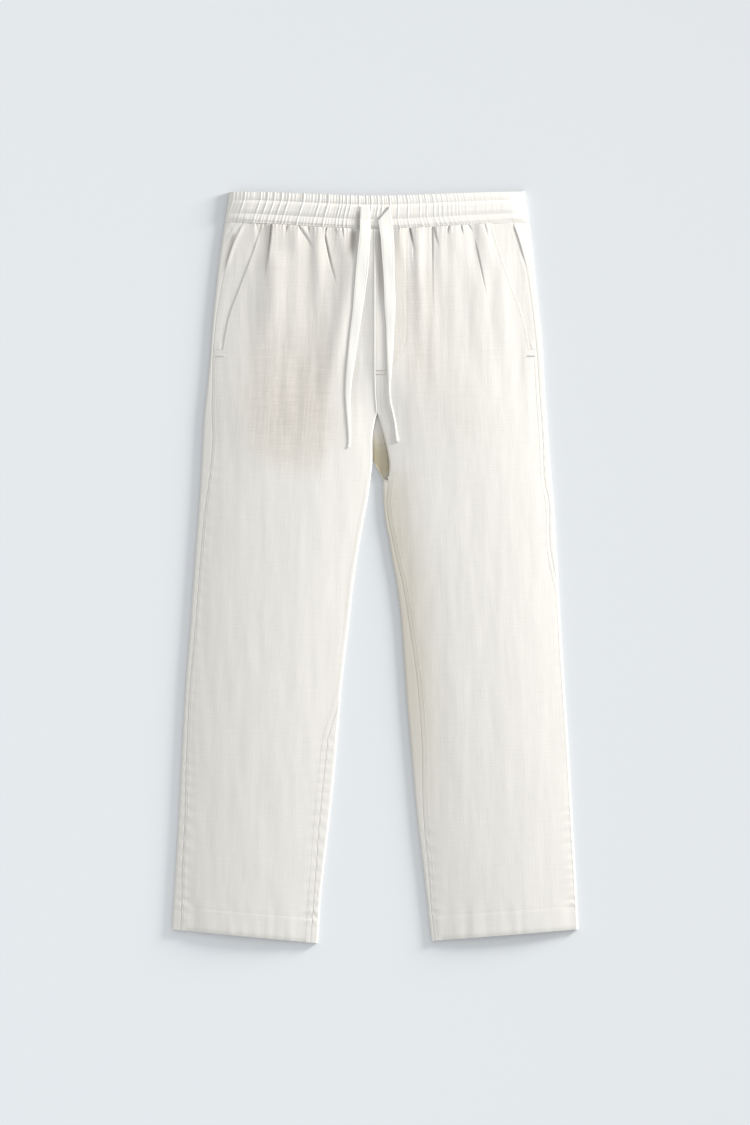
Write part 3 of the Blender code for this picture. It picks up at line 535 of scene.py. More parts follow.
def along(stations, name, place):
    """Read a named column at a place between its rows."""
    places = next(iter(stations.values()))
    values = stations[name]
    key = (id(stations), name)
    if key not in known_tangents:
        known_tangents[key] = tangents(places, values)
    pull = known_tangents[key]
    place = min(max(place, places[0]), places[-1])
    low = min(max(bisect.bisect_right(places, place) - 1, 0), len(places) - 2)
    step = places[low + 1] - places[low]
    t = (place - places[low]) / step
    start = values[low] * (1 + 2 * t) * (1 - t) ** 2 + pull[low] * step * t * (1 - t) ** 2
    end = values[low + 1] * t * t * (3 - 2 * t) + pull[low + 1] * step * t * t * (t - 1)
    return start + end


def smooth(value):
    """Ease from 0 to 1."""
    value = min(max(value, 0.0), 1.0)
    return value * value * (3 - 2 * value)


def rise(distance, spread):
    """Rise from 0 at a fold to 1 at the crown, steepest at the fold."""
    short = 1.0 - min(max(distance / spread, 0.0), 1.0)
    return 1.0 - short * short


def bell(distance, half_width):
    """A soft hump, 1 in its middle."""
    off = distance / half_width
    return math.exp(-off * off)


def spaced(start, end, count):
    """Give evenly spaced numbers, both ends included."""
    return [start + (end - start) * k / (count - 1) for k in range(count)]


def crease_place(x, y, crease):
    """Share of a crease's length at a height, and the distance from it to the right."""
    start_y, start_x, end_y, end_x = crease[:4]
    share = (start_y - y) / (start_y - end_y)
    return share, x - start_x - (end_x - start_x) * share


# ---------------------------------------------------------------- form of the cloth

def soft_relief(x, y):
    """Height of the soft pleats, and of the slight unevenness of laid linen."""
    total = 0.0
    for fold in SOFT_FOLDS:
        share, off = crease_place(x, y, fold)
        half_width, height = fold[4:]
        if -SOFT_LEAD <= share <= 1.0 and abs(off) < 3 * half_width:
            fade = smooth((1.0 - share) / SOFT_TAIL) * smooth((share + SOFT_LEAD) / SOFT_LEAD)
            total += height * fade * bell(off, half_width)
    shares = {
        "all": 1.0,
        "hip": smooth((y - 130.0) / 130.0),
        "waist": smooth((y - 255.0) / 90.0),
        "hem": smooth((HEM_ROW + HEM_DEPTH + 14.0 - y) / 26.0),
    }
    for height, wide, long, part, where in UNEVENNESS:
        total += shares[where] * height * noise.noise(Vector((x / wide, y / long, part)))
    return total


def pleat_relief(x, y):
    """Height and shade of the sharp pleats."""
    total = 0.0
    shade = 0.0
    for pleat in PLEATS:
        bend, step, spread, cut, dark = pleat[4:]
        share, off = crease_place(x, y, pleat)
        off -= bend * 4 * share * (1 - share)
        if share < -PLEAT_LEAD or share > 1.0 or abs(off) > 5 * spread:
            continue
        fade = smooth((1.0 - share) / PLEAT_TAIL)
        if pleat[0] < FREE_PLEATS_BELOW:
            fade *= smooth((share + PLEAT_LEAD) / PLEAT_LEAD_OVER)
        total += step * fade * 0.5 * math.tanh(off / PLEAT_STEP_OVER) * math.exp(-abs(off) / spread)
        total -= PLEAT_CUT * cut * fade * bell(off, PLEAT_CUT_OVER)
        shade = max(shade, dark * fade * bell(off, PLEAT_SHADE_OVER))
    return total, shade


def hollow_shade(x, y):
    """Shade of the deep hollows."""
    shade = 0.0
    for hollow in HOLLOWS:
        share, off = crease_place(x, y, hollow)
        half_width, strength = hollow[4:]
        if 0.0 <= share <= 1.0:
            fade = smooth((1.0 - share) / HOLLOW_TAIL) * smooth(share / HOLLOW_LEAD)
            shade = max(shade, strength * fade * bell(off, half_width))
    return shade


def ripple_relief(x, y, seam_y):
    """Small gathers just below the waistband."""
    fade = math.exp(-max(0.0, seam_y - y) / RIPPLE_OVER) * gather_strength(x)
    if fade < RIPPLE_LEAST:
        return 0.0
    return RIPPLE_HEIGHT * fade * (ridge_height(x, "lower", 1.4) - 0.4)


def fly_edge(y):
    """Width of the fly's stitched-down layer at a height."""
    below = (FLY_LOW + FLY_CURVE - y) / FLY_CURVE
    if below <= 0.0:
        return FLY_WIDTH
    return FLY_WIDTH * math.sqrt(max(0.0, 1.0 - below * below))


def fly_relief(x, y):
    """Height that the closed fly's second layer adds on the left front."""
    edge = fly_edge(y)
    inside = x - FLY_CENTRE
    if inside < 0.0 or edge <= 0.0:
        return 0.0
    groove = TOPSTITCH_GROOVE * bell(edge - inside - FLY_STITCH_IN, 1.0)
    return FLY_RISE * smooth((edge - inside) / 3.0) - groove


def hem_relief(row):
    """Height that a hem's second layer adds."""
    raised = HEM_RISE * smooth((HEM_ROW + HEM_DEPTH + 1.0 - row) / 2.5)
    return raised - TOPSTITCH_GROOVE * bell(row - HEM_ROW - HEM_DEPTH + HEM_STITCH_IN, 1.8)


def waist_seam(side, x):
    """Height on the cloth of the waistband's seam at an x."""
    return WAIST_ROW - WAIST_DIP * smooth(1.0 - abs(x) / BAND_BOTTOM_HALF[side])


def puckers(side, seam, row, distance):
    """Height of the puckers at a distance from a seam."""
    total = 0.0
    for name, edge, top, bottom, depth, wavelength in PUCKERS:
        if name != side or edge != seam or distance > PUCKER_REACH or not bottom < row < top:
            continue
        fade = smooth((row - bottom) / PUCKER_ENDS) * smooth((top - row) / PUCKER_ENDS)
        wave = math.sin(2 * math.pi * row / wavelength + 1.7 * math.sin(row / 23.0) + distance / 9.0)
        total += depth * fade * wave * math.exp(-(distance / PUCKER_OVER) ** 2)
    return total * smooth(distance / 2.0)


class Section:
    """One side of the trousers at one row: its folds, seams and the form of its top face."""

    def __init__(self, side, row):
        self.side = side
        self.sign = SIDES[side]
        self.row = row
        self.outer = along(OUTLINE, side + "_outer", row)
        self.crown = along(OUTLINE, "crown", row)
        self.insets = {name: along(SEAM_INSET, side + "_" + name, row) for name in ("outer", "inner")}
        self.hem = hem_relief(row)
        self.dip = WAIST_DIP * smooth((row - WAIST_DIP_END) / (WAIST_ROW - WAIST_DIP_END))
        self.slant = HEM_SLANT[side] * smooth((HEM_SLANT_END - row) / (HEM_SLANT_END - HEM_ROW))
        inner_row = row + self.shift(1.0)
        self.back_inner = along(BACK_INNER, side, inner_row)
        self.front_inner = self.back_inner
        if row >= BACK_SPLIT_ROW:
            self.back_inner = along(CENTRE_SEAM, "back", inner_row)
        if row >= APEX_ROW:
            self.front_inner = along(CENTRE_SEAM, "front", inner_row)
        elif row > FRONT_JOIN_ROW:
            self.front_inner = along(FRONT_INNER, side, inner_row)
        self.width = abs(self.front_inner - self.outer)
        self.back_width = abs(self.back_inner - self.outer)
        form_inner = self.back_inner if row <= LEG_FORM_ROW else along(FORM_INNER, side, inner_row)
        if row >= APEX_ROW:
            form_inner = self.front_inner
        self.form_width = abs(form_inner - self.outer)
        self.curled = smooth((APEX_ROW - row) / CURL_OVER)
        self.sunk = smooth((SUNK_FROM - row) / SUNK_OVER)
        self.crown += HIP_FULLER + (LEG_FULLER - HIP_FULLER) * self.sunk
        self.spread = HIP_SPREAD + (LEG_SPREAD - HIP_SPREAD) * self.sunk
        self.mouth = along(MOUTH_INSET, side, row)
        self.mouth_fade = smooth((row - MOUTH_END_ROW + 2.0) / 20.0)

    def shift(self, share):
        """How far a point lies above its row, by its share of the way from the outer edge in."""
        return -self.dip * smooth(share) - self.slant * share

    def place(self, depth, height, width):
        """Turn a distance from the outer edge, in a width, and a height into a point."""
        x = self.outer - self.sign * depth
        return (x, self.row + self.shift(min(max(depth / width, 0.0), 1.0)), height)

    def top(self, depth):
        """Height of the bare top face at a distance from the outer edge."""
        fold_height = 2 * FOLD_RADIUS
        from_inner = self.form_width - depth - FOLD_RADIUS
        crown = rise(depth - FOLD_RADIUS, self.spread)
        crown *= 1.0 + self.sunk * (rise(from_inner, self.spread) - 1.0)
        height = fold_height + (self.crown - fold_height) * crown + self.hem * min(crown * 4.0, 1.0)
        centre = bell(from_inner, CENTRE_SPREAD) * (1.0 - self.sunk)
        return height + CENTRE_FULLER * centre * smooth((WAIST_ROW - self.row) / 60.0)

    def seam_half_gap(self, name):
        """Half the clearance at a seam."""
        on_top = smooth(self.insets[name] / (3 * FOLD_RADIUS))
        return (FOLD_SEAM_GAP + (SEAM_GAP - FOLD_SEAM_GAP) * on_top) / 2

    def seam_arc(self, name):
        """Distance along the cloth from the fold's outermost line to a seam."""
        inset = self.insets[name]
        if inset < FOLD_RADIUS:
            return FOLD_RADIUS * math.acos(1.0 - inset / FOLD_RADIUS)
        return QUARTER_FOLD + inset - FOLD_RADIUS

    def on_outer_fold(self, arc):
        """Point on the outer fold: arc 0 is its outermost line."""
        angle = arc / FOLD_RADIUS
        return FOLD_RADIUS * (1.0 - math.cos(angle)), FOLD_RADIUS * (1.0 + math.sin(angle))

    def mouth_lift(self, depth):
        """How far the front stands up along its pocket mouth."""
        return MOUTH_LIFT * self.mouth_fade * (1.0 - smooth((depth - self.mouth) / MOUTH_SPREAD))

    def front_reach(self):
        """Width that the inner edge's turn takes, and its angle."""
        turn = self.curled * math.pi / 2
        if turn < 0.001:
            return QUARTER_FOLD, turn
        return QUARTER_FOLD * math.sin(turn) / turn, turn

    def front_point(self, arc):
        """Point and shade on the front, at a distance along the cloth from the outer fold."""
        reach, turn = self.front_reach()
        flat_end = QUARTER_FOLD + self.width - FOLD_RADIUS - reach
        if arc < QUARTER_FOLD:
            depth, height = self.on_outer_fold(arc)
            return self.place(depth, height, self.width), 0.0
        if arc <= flat_end:
            depth = FOLD_RADIUS + arc - QUARTER_FOLD
            x, y, height = self.place(depth, self.top(depth), self.width)
            raised, shade = self.relief(x, y, depth)
            return (x, y, height + self.mouth_lift(depth) + raised), shade
        past = arc - flat_end
        depth = self.width - reach
        height = self.top(depth)
        if turn < 0.001:
            depth += past
        else:
            radius = QUARTER_FOLD / turn
            angle = turn * past / QUARTER_FOLD
            depth += radius * math.sin(angle)
            height -= radius * (1.0 - math.cos(angle))
        x, y, height = self.place(depth, height, self.width)
        raised, shade = self.relief(x, y, min(depth, self.width - reach))
        return (x, y, height + raised), shade

    def relief(self, x, y, depth):
        """Pleats, fly and puckers, faded out by the seams where the pieces meet."""
        from_seam = depth - self.insets["outer"]
        from_inner = self.width - depth - self.insets["inner"]
        edge = smooth((from_seam - 1.0) / 8.0)
        inner_edge = 1.0 - self.sunk * (1.0 - smooth((from_inner - 3.0) / 8.0))
        raised, shade = pleat_relief(x, y)
        shade = max(shade, hollow_shade(x, y))
        raised += soft_relief(x, y)
        raised -= 0.9 * bell(self.row - HEM_ROW, 2.4)
        raised += ripple_relief(x, y, waist_seam(self.side, x))
        raised *= inner_edge
        shade *= edge
        if self.side == "left":
            raised += fly_relief(x, y) * (1.0 - self.curled)
        elif self.row > APEX_ROW:
            centre = self.front_inner - x
            stand = smooth((self.row - 235.0) / 40.0) * smooth((440.0 - self.row) / 50.0)
            raised += CENTRE_STAND * stand * bell(centre, CENTRE_STAND_OVER)
            raised += CENTRE_LIP * bell(centre - CENTRE_LIP_IN, CENTRE_LIP_OVER)
        raised *= edge
        for name, distance in (("inner", from_inner), ("outer", from_seam)):
            raised += puckers(self.side, name, self.row, max(0.0, distance))
        return raised, shade

    def front_start(self):
        """Distance along the cloth at which the front starts: its pocket mouth or its side seam."""
        if self.row >= MOUTH_END_ROW:
            return QUARTER_FOLD + self.mouth - FOLD_RADIUS
        return self.seam_arc("outer") + self.seam_half_gap("outer")

    def front_length(self):
        """Distance along the front from the outer fold to its inner end."""
        reach, _ = self.front_reach()
        length = 2 * QUARTER_FOLD + self.width - FOLD_RADIUS - reach
        if self.row > FRONT_JOIN_ROW:
            return length - SEAM_GAP / 2 - 0.8 * self.curled
        return length - self.seam_arc("inner") - self.seam_half_gap("inner")

    def back_turn(self):
        """How the back's inner end turns up: its angle and the width it takes."""
        turn = math.radians(along(BACK_CURL, self.side + "_angle", self.row))
        length = along(BACK_CURL, self.side + "_length", self.row)
        straight = max(0.0, length - turn * FOLD_RADIUS)
        reach = FOLD_RADIUS * math.sin(min(turn, math.pi / 2)) + straight * max(0.0, math.cos(turn))
        return turn, reach

    def back_end_point(self, past):
        """Point past the underside's inner end, where the back turns up at the inner fold."""
        width = self.back_width
        if self.row <= FULL_CURL_ROW[self.side]:
            if past <= 2 * QUARTER_FOLD:
                angle = past / FOLD_RADIUS
                depth = width - FOLD_RADIUS + FOLD_RADIUS * math.sin(angle)
                return self.place(depth, FOLD_RADIUS * (1.0 - math.cos(angle)), width)
            depth = width - FOLD_RADIUS - (past - 2 * QUARTER_FOLD)
            return self.place(depth, self.top(depth), width)
        turn, reach = self.back_turn()
        angle = min(past / FOLD_RADIUS, turn)
        rest = past - angle * FOLD_RADIUS
        depth = width - reach + FOLD_RADIUS * math.sin(angle) + rest * math.cos(angle)
        height = FOLD_RADIUS * (1.0 - math.cos(angle)) + rest * math.sin(angle)
        return self.place(depth, height, width)

    def back_end_reach(self):
        """Width of the underside that is left when its inner end has turned up."""
        if self.row <= FULL_CURL_ROW[self.side]:
            return self.back_width - FOLD_RADIUS
        return self.back_width - self.back_turn()[1]

    def back_end_length(self):
        """Length of cloth past the underside's inner end."""
        if self.row > FULL_CURL_ROW[self.side]:
            return along(BACK_CURL, self.side + "_length", self.row) - SEAM_GAP / 2
        return QUARTER_FOLD + self.seam_arc("inner") - self.seam_half_gap("inner")


def seam_roll(distance):
    """How far an edge dips, and its shade, at a distance from its seam."""
    return -SEAM_DIP * bell(distance, SEAM_DIP_OVER), SEAM_SHADE * bell(distance, SEAM_SHADE_OVER)


def drawn_in(base):
    """How strongly a seam draws the cloth in: least where it isn't gathered."""
    return DRAWN_LEAST + (1.0 - DRAWN_LEAST) * gather_strength(base)


def front_row(side, row, columns):
    """Points, cloth coordinates and shades of a front across one row."""
    section = Section(side, row)
    start = section.front_start()
    end = section.front_length()
    arcs = []
    first = start
    if HIP_END_ROW < row < MOUTH_END_ROW:
        arcs = [start + step for step in STRIP_EDGE]
        first = QUARTER_FOLD + section.mouth - FOLD_RADIUS
    arcs += [first + step for step in FRONT_EDGE]
    arcs += spaced(first + FRONT_EDGE[-1], end - FRONT_EDGE[-1], columns + 2)[1:-1]
    arcs += [end - step for step in reversed(FRONT_EDGE)]
    points = []
    for arc in arcs:
        (x, y, z), shade = section.front_point(arc)
        if row < MOUTH_END_ROW:
            dip, dark = seam_roll(arc - start)
            z += dip
            shade = max(shade, dark)
        elif side == "right":
            z -= MOUTH_ROLL * bell(arc - start, MOUTH_ROLL_OVER)
        if side == "left" or row < APEX_ROW:
            dip, dark = seam_roll(end - arc)
            z += dip * CENTRE_DIP
            shade = max(shade, dark * (0.2 if FRONT_JOIN_ROW < row < APEX_ROW else 1.0))
        dip, dark = seam_roll(WAIST_ROW - row)
        drawn = drawn_in(x)
        z += dip * WAIST_SEAM_DIP * drawn
        shade = max(shade, dark * WAIST_SEAM_SHADE * drawn)
        points.append((x, y, z, arc, shade))
    return points


def wrap_steps(length):
    """Distances along a wrapped edge, from the underside round the fold to the seam."""
    last = length - BACK_EDGE
    fold = min(0.75 * last, 2 * QUARTER_FOLD)
    steps = [fold * k / FOLD_STEPS for k in range(FOLD_STEPS + 1)]
    rest = last - fold
    steps += [fold + rest * (1.0 - (1.0 - k / TOP_STEPS) ** 1.4) for k in range(1, TOP_STEPS)]
    return steps + [last, length]


def under_relief(x, y):
    """Plain soft folds of the underside, which only rise from the surface it lies on."""
    below_band = math.exp(-max(0.0, WAIST_ROW - 5.0 - y) / 28.0)
    pleats = UNDER_PLEATS * below_band * (0.5 + 0.5 * math.sin(x / 2.3 + 2.0 * math.sin(x / 19.0))) ** 2
    drift = UNDER_DRIFT * (0.5 + 0.5 * math.sin(x / 21.0 + 1.4 * math.sin(y / 70.0))) ** 2
    return pleats + drift


def crotch_rise(x, y):
    """How far the back's cloth stands up from the surface between the legs."""
    height, middle, half_width, level, half_length = CROTCH_STAND
    return height * bell(x - middle, half_width) * bell(y - level, half_length)


def strip_gathers(x, row):
    """Small gathers that slant down and out from the waistband beside the side seam."""
    apart, height, lowest, slant = STRIP_GATHERS
    across = x + slant * (WAIST_ROW - row)
    return height * max(0.0, math.sin(2 * math.pi * across / apart)) * smooth((row - lowest) / 16.0)


def back_row(side, row, columns):
    """Points, cloth coordinates and shades of a back across one row."""
    section = Section(side, row)
    points = []

    # Inner end, from its seam or free edge down to the underside
    ends = wrap_steps(section.back_end_length())
    for past in reversed(ends):
        x, y, z = section.back_end_point(past)
        from_seam = ends[-1] - past
        dip, dark = seam_roll(from_seam)
        if row > FULL_CURL_ROW[side]:
            dip = 0.0
            dark = 0.05 + 0.22 * bell(row - 140.0, 22.0) if past > 0.5 and side == "left" else 0.0
        if past > 2 * QUARTER_FOLD - 0.01:
            z += dip
            z += puckers(side, "inner", row, from_seam)
        points.append((x, y, z + crotch_rise(x, y), section.back_width + past, dark))

    # Underside
    reach = section.back_end_reach()
    for depth in spaced(reach, FOLD_RADIUS, columns + 2)[1:-1]:
        x, y, z = section.place(depth, 0.0, section.back_width)
        away = smooth((depth - FOLD_RADIUS) / 12.0) * smooth((reach - depth) / 12.0)
        on_seam = side == "left" and -4.0 < x < 30.0
        seam_line = 0.15 * bell(y - CROTCH_SEAM_ROW, 1.2) if on_seam else 0.0
        z += under_relief(x, y) * away + crotch_rise(x, y)
        points.append((x, y, z, depth, seam_line))

    # Round the side fold and up to the side seam
    steps = wrap_steps(section.seam_arc("outer") - section.seam_half_gap("outer") + QUARTER_FOLD)
    stand = BACK_STAND[side] * smooth((row - 405.0) / 25.0) * smooth((WAIST_ROW - row) / 10.0)
    waist_dip, waist_dark = seam_roll(WAIST_ROW - row)
    for past in steps:
        arc = past - QUARTER_FOLD
        from_seam = steps[-1] - past
        dip, dark = seam_roll(from_seam)
        if arc <= QUARTER_FOLD:
            depth, height = section.on_outer_fold(arc)
            x, y, z = section.place(depth, height, section.width)
            dip = 0.0
        else:
            depth = FOLD_RADIUS + arc - QUARTER_FOLD
            x, y, z = section.place(depth, section.top(depth), section.width)
            z += puckers(side, "outer", row, from_seam)
            z += stand * bell(from_seam - 1.0, 5.0) * smooth((depth - FOLD_RADIUS) / 4.0)
            if side == "right":
                z += strip_gathers(x, row) * smooth((depth - FOLD_RADIUS) / 5.0) * smooth(from_seam / 3.0)
        shade = max(dark, waist_dark, hollow_shade(x, y))
        points.append((x, y, max(z + dip + waist_dip, 0.0), -past, shade))
    return points


def facing_row(side, row, columns):
    """Points of a pocket facing across one row, from the side seam to under the front."""
    section = Section(side, row)
    start = section.seam_arc("outer") + SEAM_GAP / 2 + FOLD_RADIUS - QUARTER_FOLD
    stand = smooth((row - 390.0) / 30.0) * smooth((WAIST_ROW - row) / 8.0)
    stand *= FACING_STAND[side]
    waist_dip, waist_dark = seam_roll(WAIST_ROW - row)
    open_here = smooth((row - MOUTH_END_ROW) / 16.0)
    points = []
    for depth in spaced(start, section.mouth + FACING_UNDER, columns):
        x, y, height = section.place(depth, section.top(depth), section.width)
        raised, _ = section.relief(x, y, depth)
        exposed = min(1.0, (depth - start) / (section.mouth - start))
        sunk = max(exposed * open_here, smooth((depth - section.mouth + 4.0) / 4.0))
        under = section.mouth_lift(depth) * exposed + raised - (CLOTH + FACING_CLEARANCE) * sunk
        from_seam = depth - start
        dip, dark = seam_roll(from_seam)
        z = height + under + stand * bell(from_seam - 1.0, 3.0) + dip
        near_mouth = 0.12 * bell(max(0.0, section.mouth - depth), 1.2) * section.mouth_fade
        points.append((x, y, z + waist_dip, depth, max(dark, near_mouth, waist_dark)))
    return points


def rows_between(limits):
    """Row heights from waist to hem, with the step that holds down to each limit."""
    rows = [WAIST_ROW, WAIST_ROW - 0.4, WAIST_ROW - 1.0, WAIST_ROW - 1.8]
    place = rows[-1]
    for limit, step in limits:
        count = max(1, round((place - limit) / step))
        rows += [place + (limit - place) * k / count for k in range(1, count + 1)]
        place = limit
    return rows


HIP_ROWS = rows_between(((MOUTH_END_ROW + 0.01, 2.2), (MOUTH_END_ROW - 0.4, 0.41), (HIP_END_ROW, 2.2)))
LEG_ROWS = rows_between((
    (HIP_END_ROW, 300.0),
    (APEX_ROW, 2.8),
    (FRONT_JOIN_ROW, 2.0),
    (LEG_FORM_ROW, 1.0),
    (HEM_ROW + HEM_DEPTH + 8.0, 4.2),
    (HEM_ROW + HEM_DEPTH - 6.0, 1.0),
    (HEM_ROW, 3.2),
))[5:]


# ---------------------------------------------------------------- waistband

def band_x(base, share):
    """Where a gather that starts at base on the lower seam lies at a share of the band's height."""
    return base * (1.0 - BAND_TAPER * share) - BAND_LEAN * share * math.sin(math.pi * base / BAND_LEAN_OVER)


def band_y(base, share):
    """Height on the cloth of the same place."""
    half = BAND_BOTTOM_HALF["left"] if base > 0.0 else BAND_BOTTOM_HALF["right"]
    middle = smooth(1.0 - abs(base) / half)
    low = WAIST_ROW - WAIST_DIP * middle + SEAM_GAP / 2
    return low + share * (BAND_HEIGHT_SIDE + (BAND_HEIGHT_CENTRE - BAND_HEIGHT_SIDE) * middle - SEAM_GAP)


def gather_strength(base):
    """The gathers die out towards the wearer's left."""
    return along(GATHER_STRENGTH, "strength", base)


def make_gathers():
    """Ridges of the channel, with more of them in the header and in the lower edge."""
    chance = random.Random(GATHER_SEED)
    channel = []
    for place in CHANNEL_FOLDS:
        base = (place + 2.65 * math.sin(math.pi * place / BAND_LEAN_OVER)) / 0.98
        if channel:
            gap = base - channel[-1][0]
            between = int(gap / GATHER_GAPS["channel"])
            start = channel[-1][0]
            for k in range(between):
                inside = start + gap * (k + 1 + chance.uniform(-0.25, 0.25)) / (between + 1)
                channel.append((inside, chance.uniform(0.12, 0.42)))
        channel.append((base, chance.uniform(0.85, 1.15)))
    zones = {"channel": channel}
    for zone in ("header", "lower"):
        ridges = []
        for (left, height), (right, _) in zip(channel, channel[1:]):
            ridges.append((left + chance.uniform(-0.4, 0.4), max(height, 0.5) * chance.uniform(0.8, 1.1)))
            count = round((right - left) / GATHER_GAPS[zone]) - 1
            for k in range(count):
                inside = left + (right - left) * (k + 1) / (count + 1)
                ridges.append((inside + chance.uniform(-0.5, 0.5), chance.uniform(0.45, 0.95)))
        zones[zone] = sorted(ridges)
    return zones


GATHERS = make_gathers()
GATHER_PLACES = {zone: [place for place, _ in ridges] for zone, ridges in GATHERS.items()}


def ridge_height(base, zone, width):
    """Height of a zone's ridges at a place, with the slack cloth between them."""
    places = GATHER_PLACES[zone]
    ridges = GATHERS[zone]
    near = bisect.bisect_left(places, base)
    total = 0.0
    for k in (near - 2, near - 1, near, near + 1):
        if 0 <= k < len(ridges):
            off = base - ridges[k][0]
            sharp = width * (0.75 if off > 0.0 else 1.25)
            total = max(total, ridges[k][1] * bell(off, sharp))
    if 0 < near < len(places):
        left = places[near - 1]
        right = places[near]
        total += 0.28 * math.sin(math.pi * (base - left) / (right - left)) * min((right - left) / 8.0, 1.0)
    return total


def band_form(base, share):
    """Height and shade of the band's top face."""
    side = "left" if base > 0.0 else "right"
    inward = BAND_BOTTOM_HALF[side] - abs(base)
    fold_height = 2 * BAND_FOLD_RADIUS
    crown = rise(inward - BAND_FOLD_RADIUS, BAND_CROWN)
    height = fold_height + (along(BAND_PROFILE, "height", share) - fold_height) * crown
    height -= BAND_END_SINK * (1.0 - smooth(share / 0.2)) * smooth((abs(base) - 160.0) / 30.0)
    lean = -1.0 if base > 0.0 else 1.0
    slide = 1.3 * math.sin(share * 6.0) + lean * 9.0 * min(abs(base) / 90.0, 1.0) * max(0.0, 0.3 - share)
    place = base + slide
    low, middle, high = (ridge_height(place, zone, width) for zone, width in RIDGE_WIDTHS.items())
    to_channel = smooth((share - 0.26) / 0.08)
    to_header = smooth((share - 0.71) / 0.07)
    gather = low + (middle - low) * to_channel
    gather += (high - gather) * to_header
    strength = along(BAND_PROFILE, "ridge", share) * gather_strength(base) * smooth(inward / 10.0)
    height += gather * strength
    shade = 0.0
    drawn = drawn_in(base)
    for line in STITCH_SHARES:
        groove = bell((share - line) * BAND_HEIGHT_CENTRE, STITCH_GROOVE_OVER)
        height -= STITCH_GROOVE * groove * crown * drawn
        shade = max(shade, SEAM_SHADE * groove * drawn)
    dip, dark = seam_roll(share * BAND_HEIGHT_CENTRE)
    height += WAIST_SEAM_DIP * dip * crown * drawn
    dark *= WAIST_SEAM_SHADE
    shade = max(shade, dark * drawn, hollow_shade(band_x(base, share), band_y(base, share)))
    return height, shade


def band_front_points():
    """Rows of the front band, from its lower seam up."""
    start = -BAND_SEAM["right"] + SEAM_GAP / 2
    end = BAND_SEAM["left"] - SEAM_GAP / 2
    bases = spaced(start, end, round((end - start) / BAND_COLUMN))
    rows = []
    for share in spaced(0.0, 1.0, BAND_ROWS):
        row = []
        for base in bases:
            z, shade = band_form(base, share)
            side_dip, _ = seam_roll(min(base - start, end - base))
            top = smooth((share - FRILL_FROM) / 0.1)
            frill = 0.5 * ridge_height(base, "header", 1.6) * top
            y = band_y(base, share) + (frill - 0.2) * gather_strength(base) * top
            row.append((band_x(base, share), y, z + 0.15 * side_dip, base, shade))
        rows.append(row)
    return rows


def band_back_columns():
    """Columns of the back band, as a base and a height: None on top, 0 on the underside."""
    radius = BAND_FOLD_RADIUS
    columns = []
    for side, sign in SIDES.items():
        top_end = BAND_BOTTOM_HALF[side] - radius
        seam = BAND_SEAM[side] + SEAM_GAP / 2
        count = round((top_end - seam) / BAND_WRAP_COLUMN)
        wrap = [(sign * base, None) for base in spaced(seam, top_end, count)]
        for step in range(1, BAND_FOLD_STEPS + 1):
            angle = math.pi * (0.5 - step / BAND_FOLD_STEPS)
            wrap.append((sign * (top_end + radius * math.cos(angle)), radius * (1.0 + math.sin(angle))))
        if side == "right":
            under = spaced(-top_end, BAND_BOTTOM_HALF["left"] - radius, BAND_UNDER_COLUMNS)[1:-1]
            columns = wrap + [(base, 0.0) for base in under]
        else:
            columns += wrap[::-1]
    return columns


def band_back_points():
    """Rows of the back band, from the right seam round under the trousers to the left seam."""
    radius = BAND_FOLD_RADIUS
    columns = band_back_columns()
    rows = []
    for share in spaced(0.0, 1.0, BAND_ROWS // 2):
        row = []
        travelled = 0.0
        before = None
        for base, height in columns:
            side = "left" if base > 0.0 else "right"
            shade = 0.0
            if height is None:
                z, shade = band_form(base, share)
                z += 0.15 * seam_roll(abs(base) - BAND_SEAM[side])[0]
            elif height == 0.0:
                away = smooth((BAND_BOTTOM_HALF[side] - radius - abs(base)) / 10.0)
                zone = "header" if share > STITCH_SHARES[-1] else "channel"
                z = 1.1 * (1.0 - min(ridge_height(base, zone, 1.6), 1.0)) * away
                for line in STITCH_SHARES:
                    z = max(z, 0.9 * away * bell((share - line) * BAND_HEIGHT_CENTRE, 1.6))
            else:
                z = height - BAND_END_SINK * (1.0 - smooth(share / 0.2)) * height / (2 * radius)
            if before:
                travelled += math.dist((base, z), before)
            before = (base, z)
            row.append((band_x(base, share), band_y(base, share), z, travelled, shade))
        rows.append(row)
    return rows


# ---------------------------------------------------------------- nodes

class Wire:
    """A node's output that works in plain arithmetic."""

    def __init__(self, nodes, socket):
        self.nodes = nodes
        self.socket = socket

    def __add__(self, other):
        return self.nodes.maths("ADD", self, other)

    def __radd__(self, other):
        return self.nodes.maths("ADD", other, self)

    def __sub__(self, other):
        return self.nodes.maths("SUBTRACT", self, other)

    def __rsub__(self, other):
        return self.nodes.maths("SUBTRACT", other, self)

    def __mul__(self, other):
        return self.nodes.maths("MULTIPLY", self, other)

    def __rmul__(self, other):
        return self.nodes.maths("MULTIPLY", other, self)

    def __truediv__(self, other):
        return self.nodes.maths("DIVIDE", self, other)

    def __rtruediv__(self, other):
        return self.nodes.maths("DIVIDE", other, self)


class Nodes:
    """A node tree that is written node by node."""

    def __init__(self, tree):
        self.tree = tree

    def node(self, kind, settings=None, values=None, output=0):
        """Make a node: its settings first, then the values or links of its sockets."""
        made = self.tree.nodes.new(kind)
        for name, value in (settings or {}).items():
            setattr(made, name, value)
        self.fill(made, values or {})
        return Wire(self, made.outputs[output])

    def fill(self, made, values):
        """Set or link the sockets of a node."""
        for name, value in values.items():
            if isinstance(value, Wire):
                self.tree.links.new(value.socket, made.inputs[name])
            else:
                made.inputs[name].default_value = value

    def maths(self, operation, first, second=0.0):
        """Work out one number from two."""
        return self.node("ShaderNodeMath", {"operation": operation}, {0: first, 1: second})


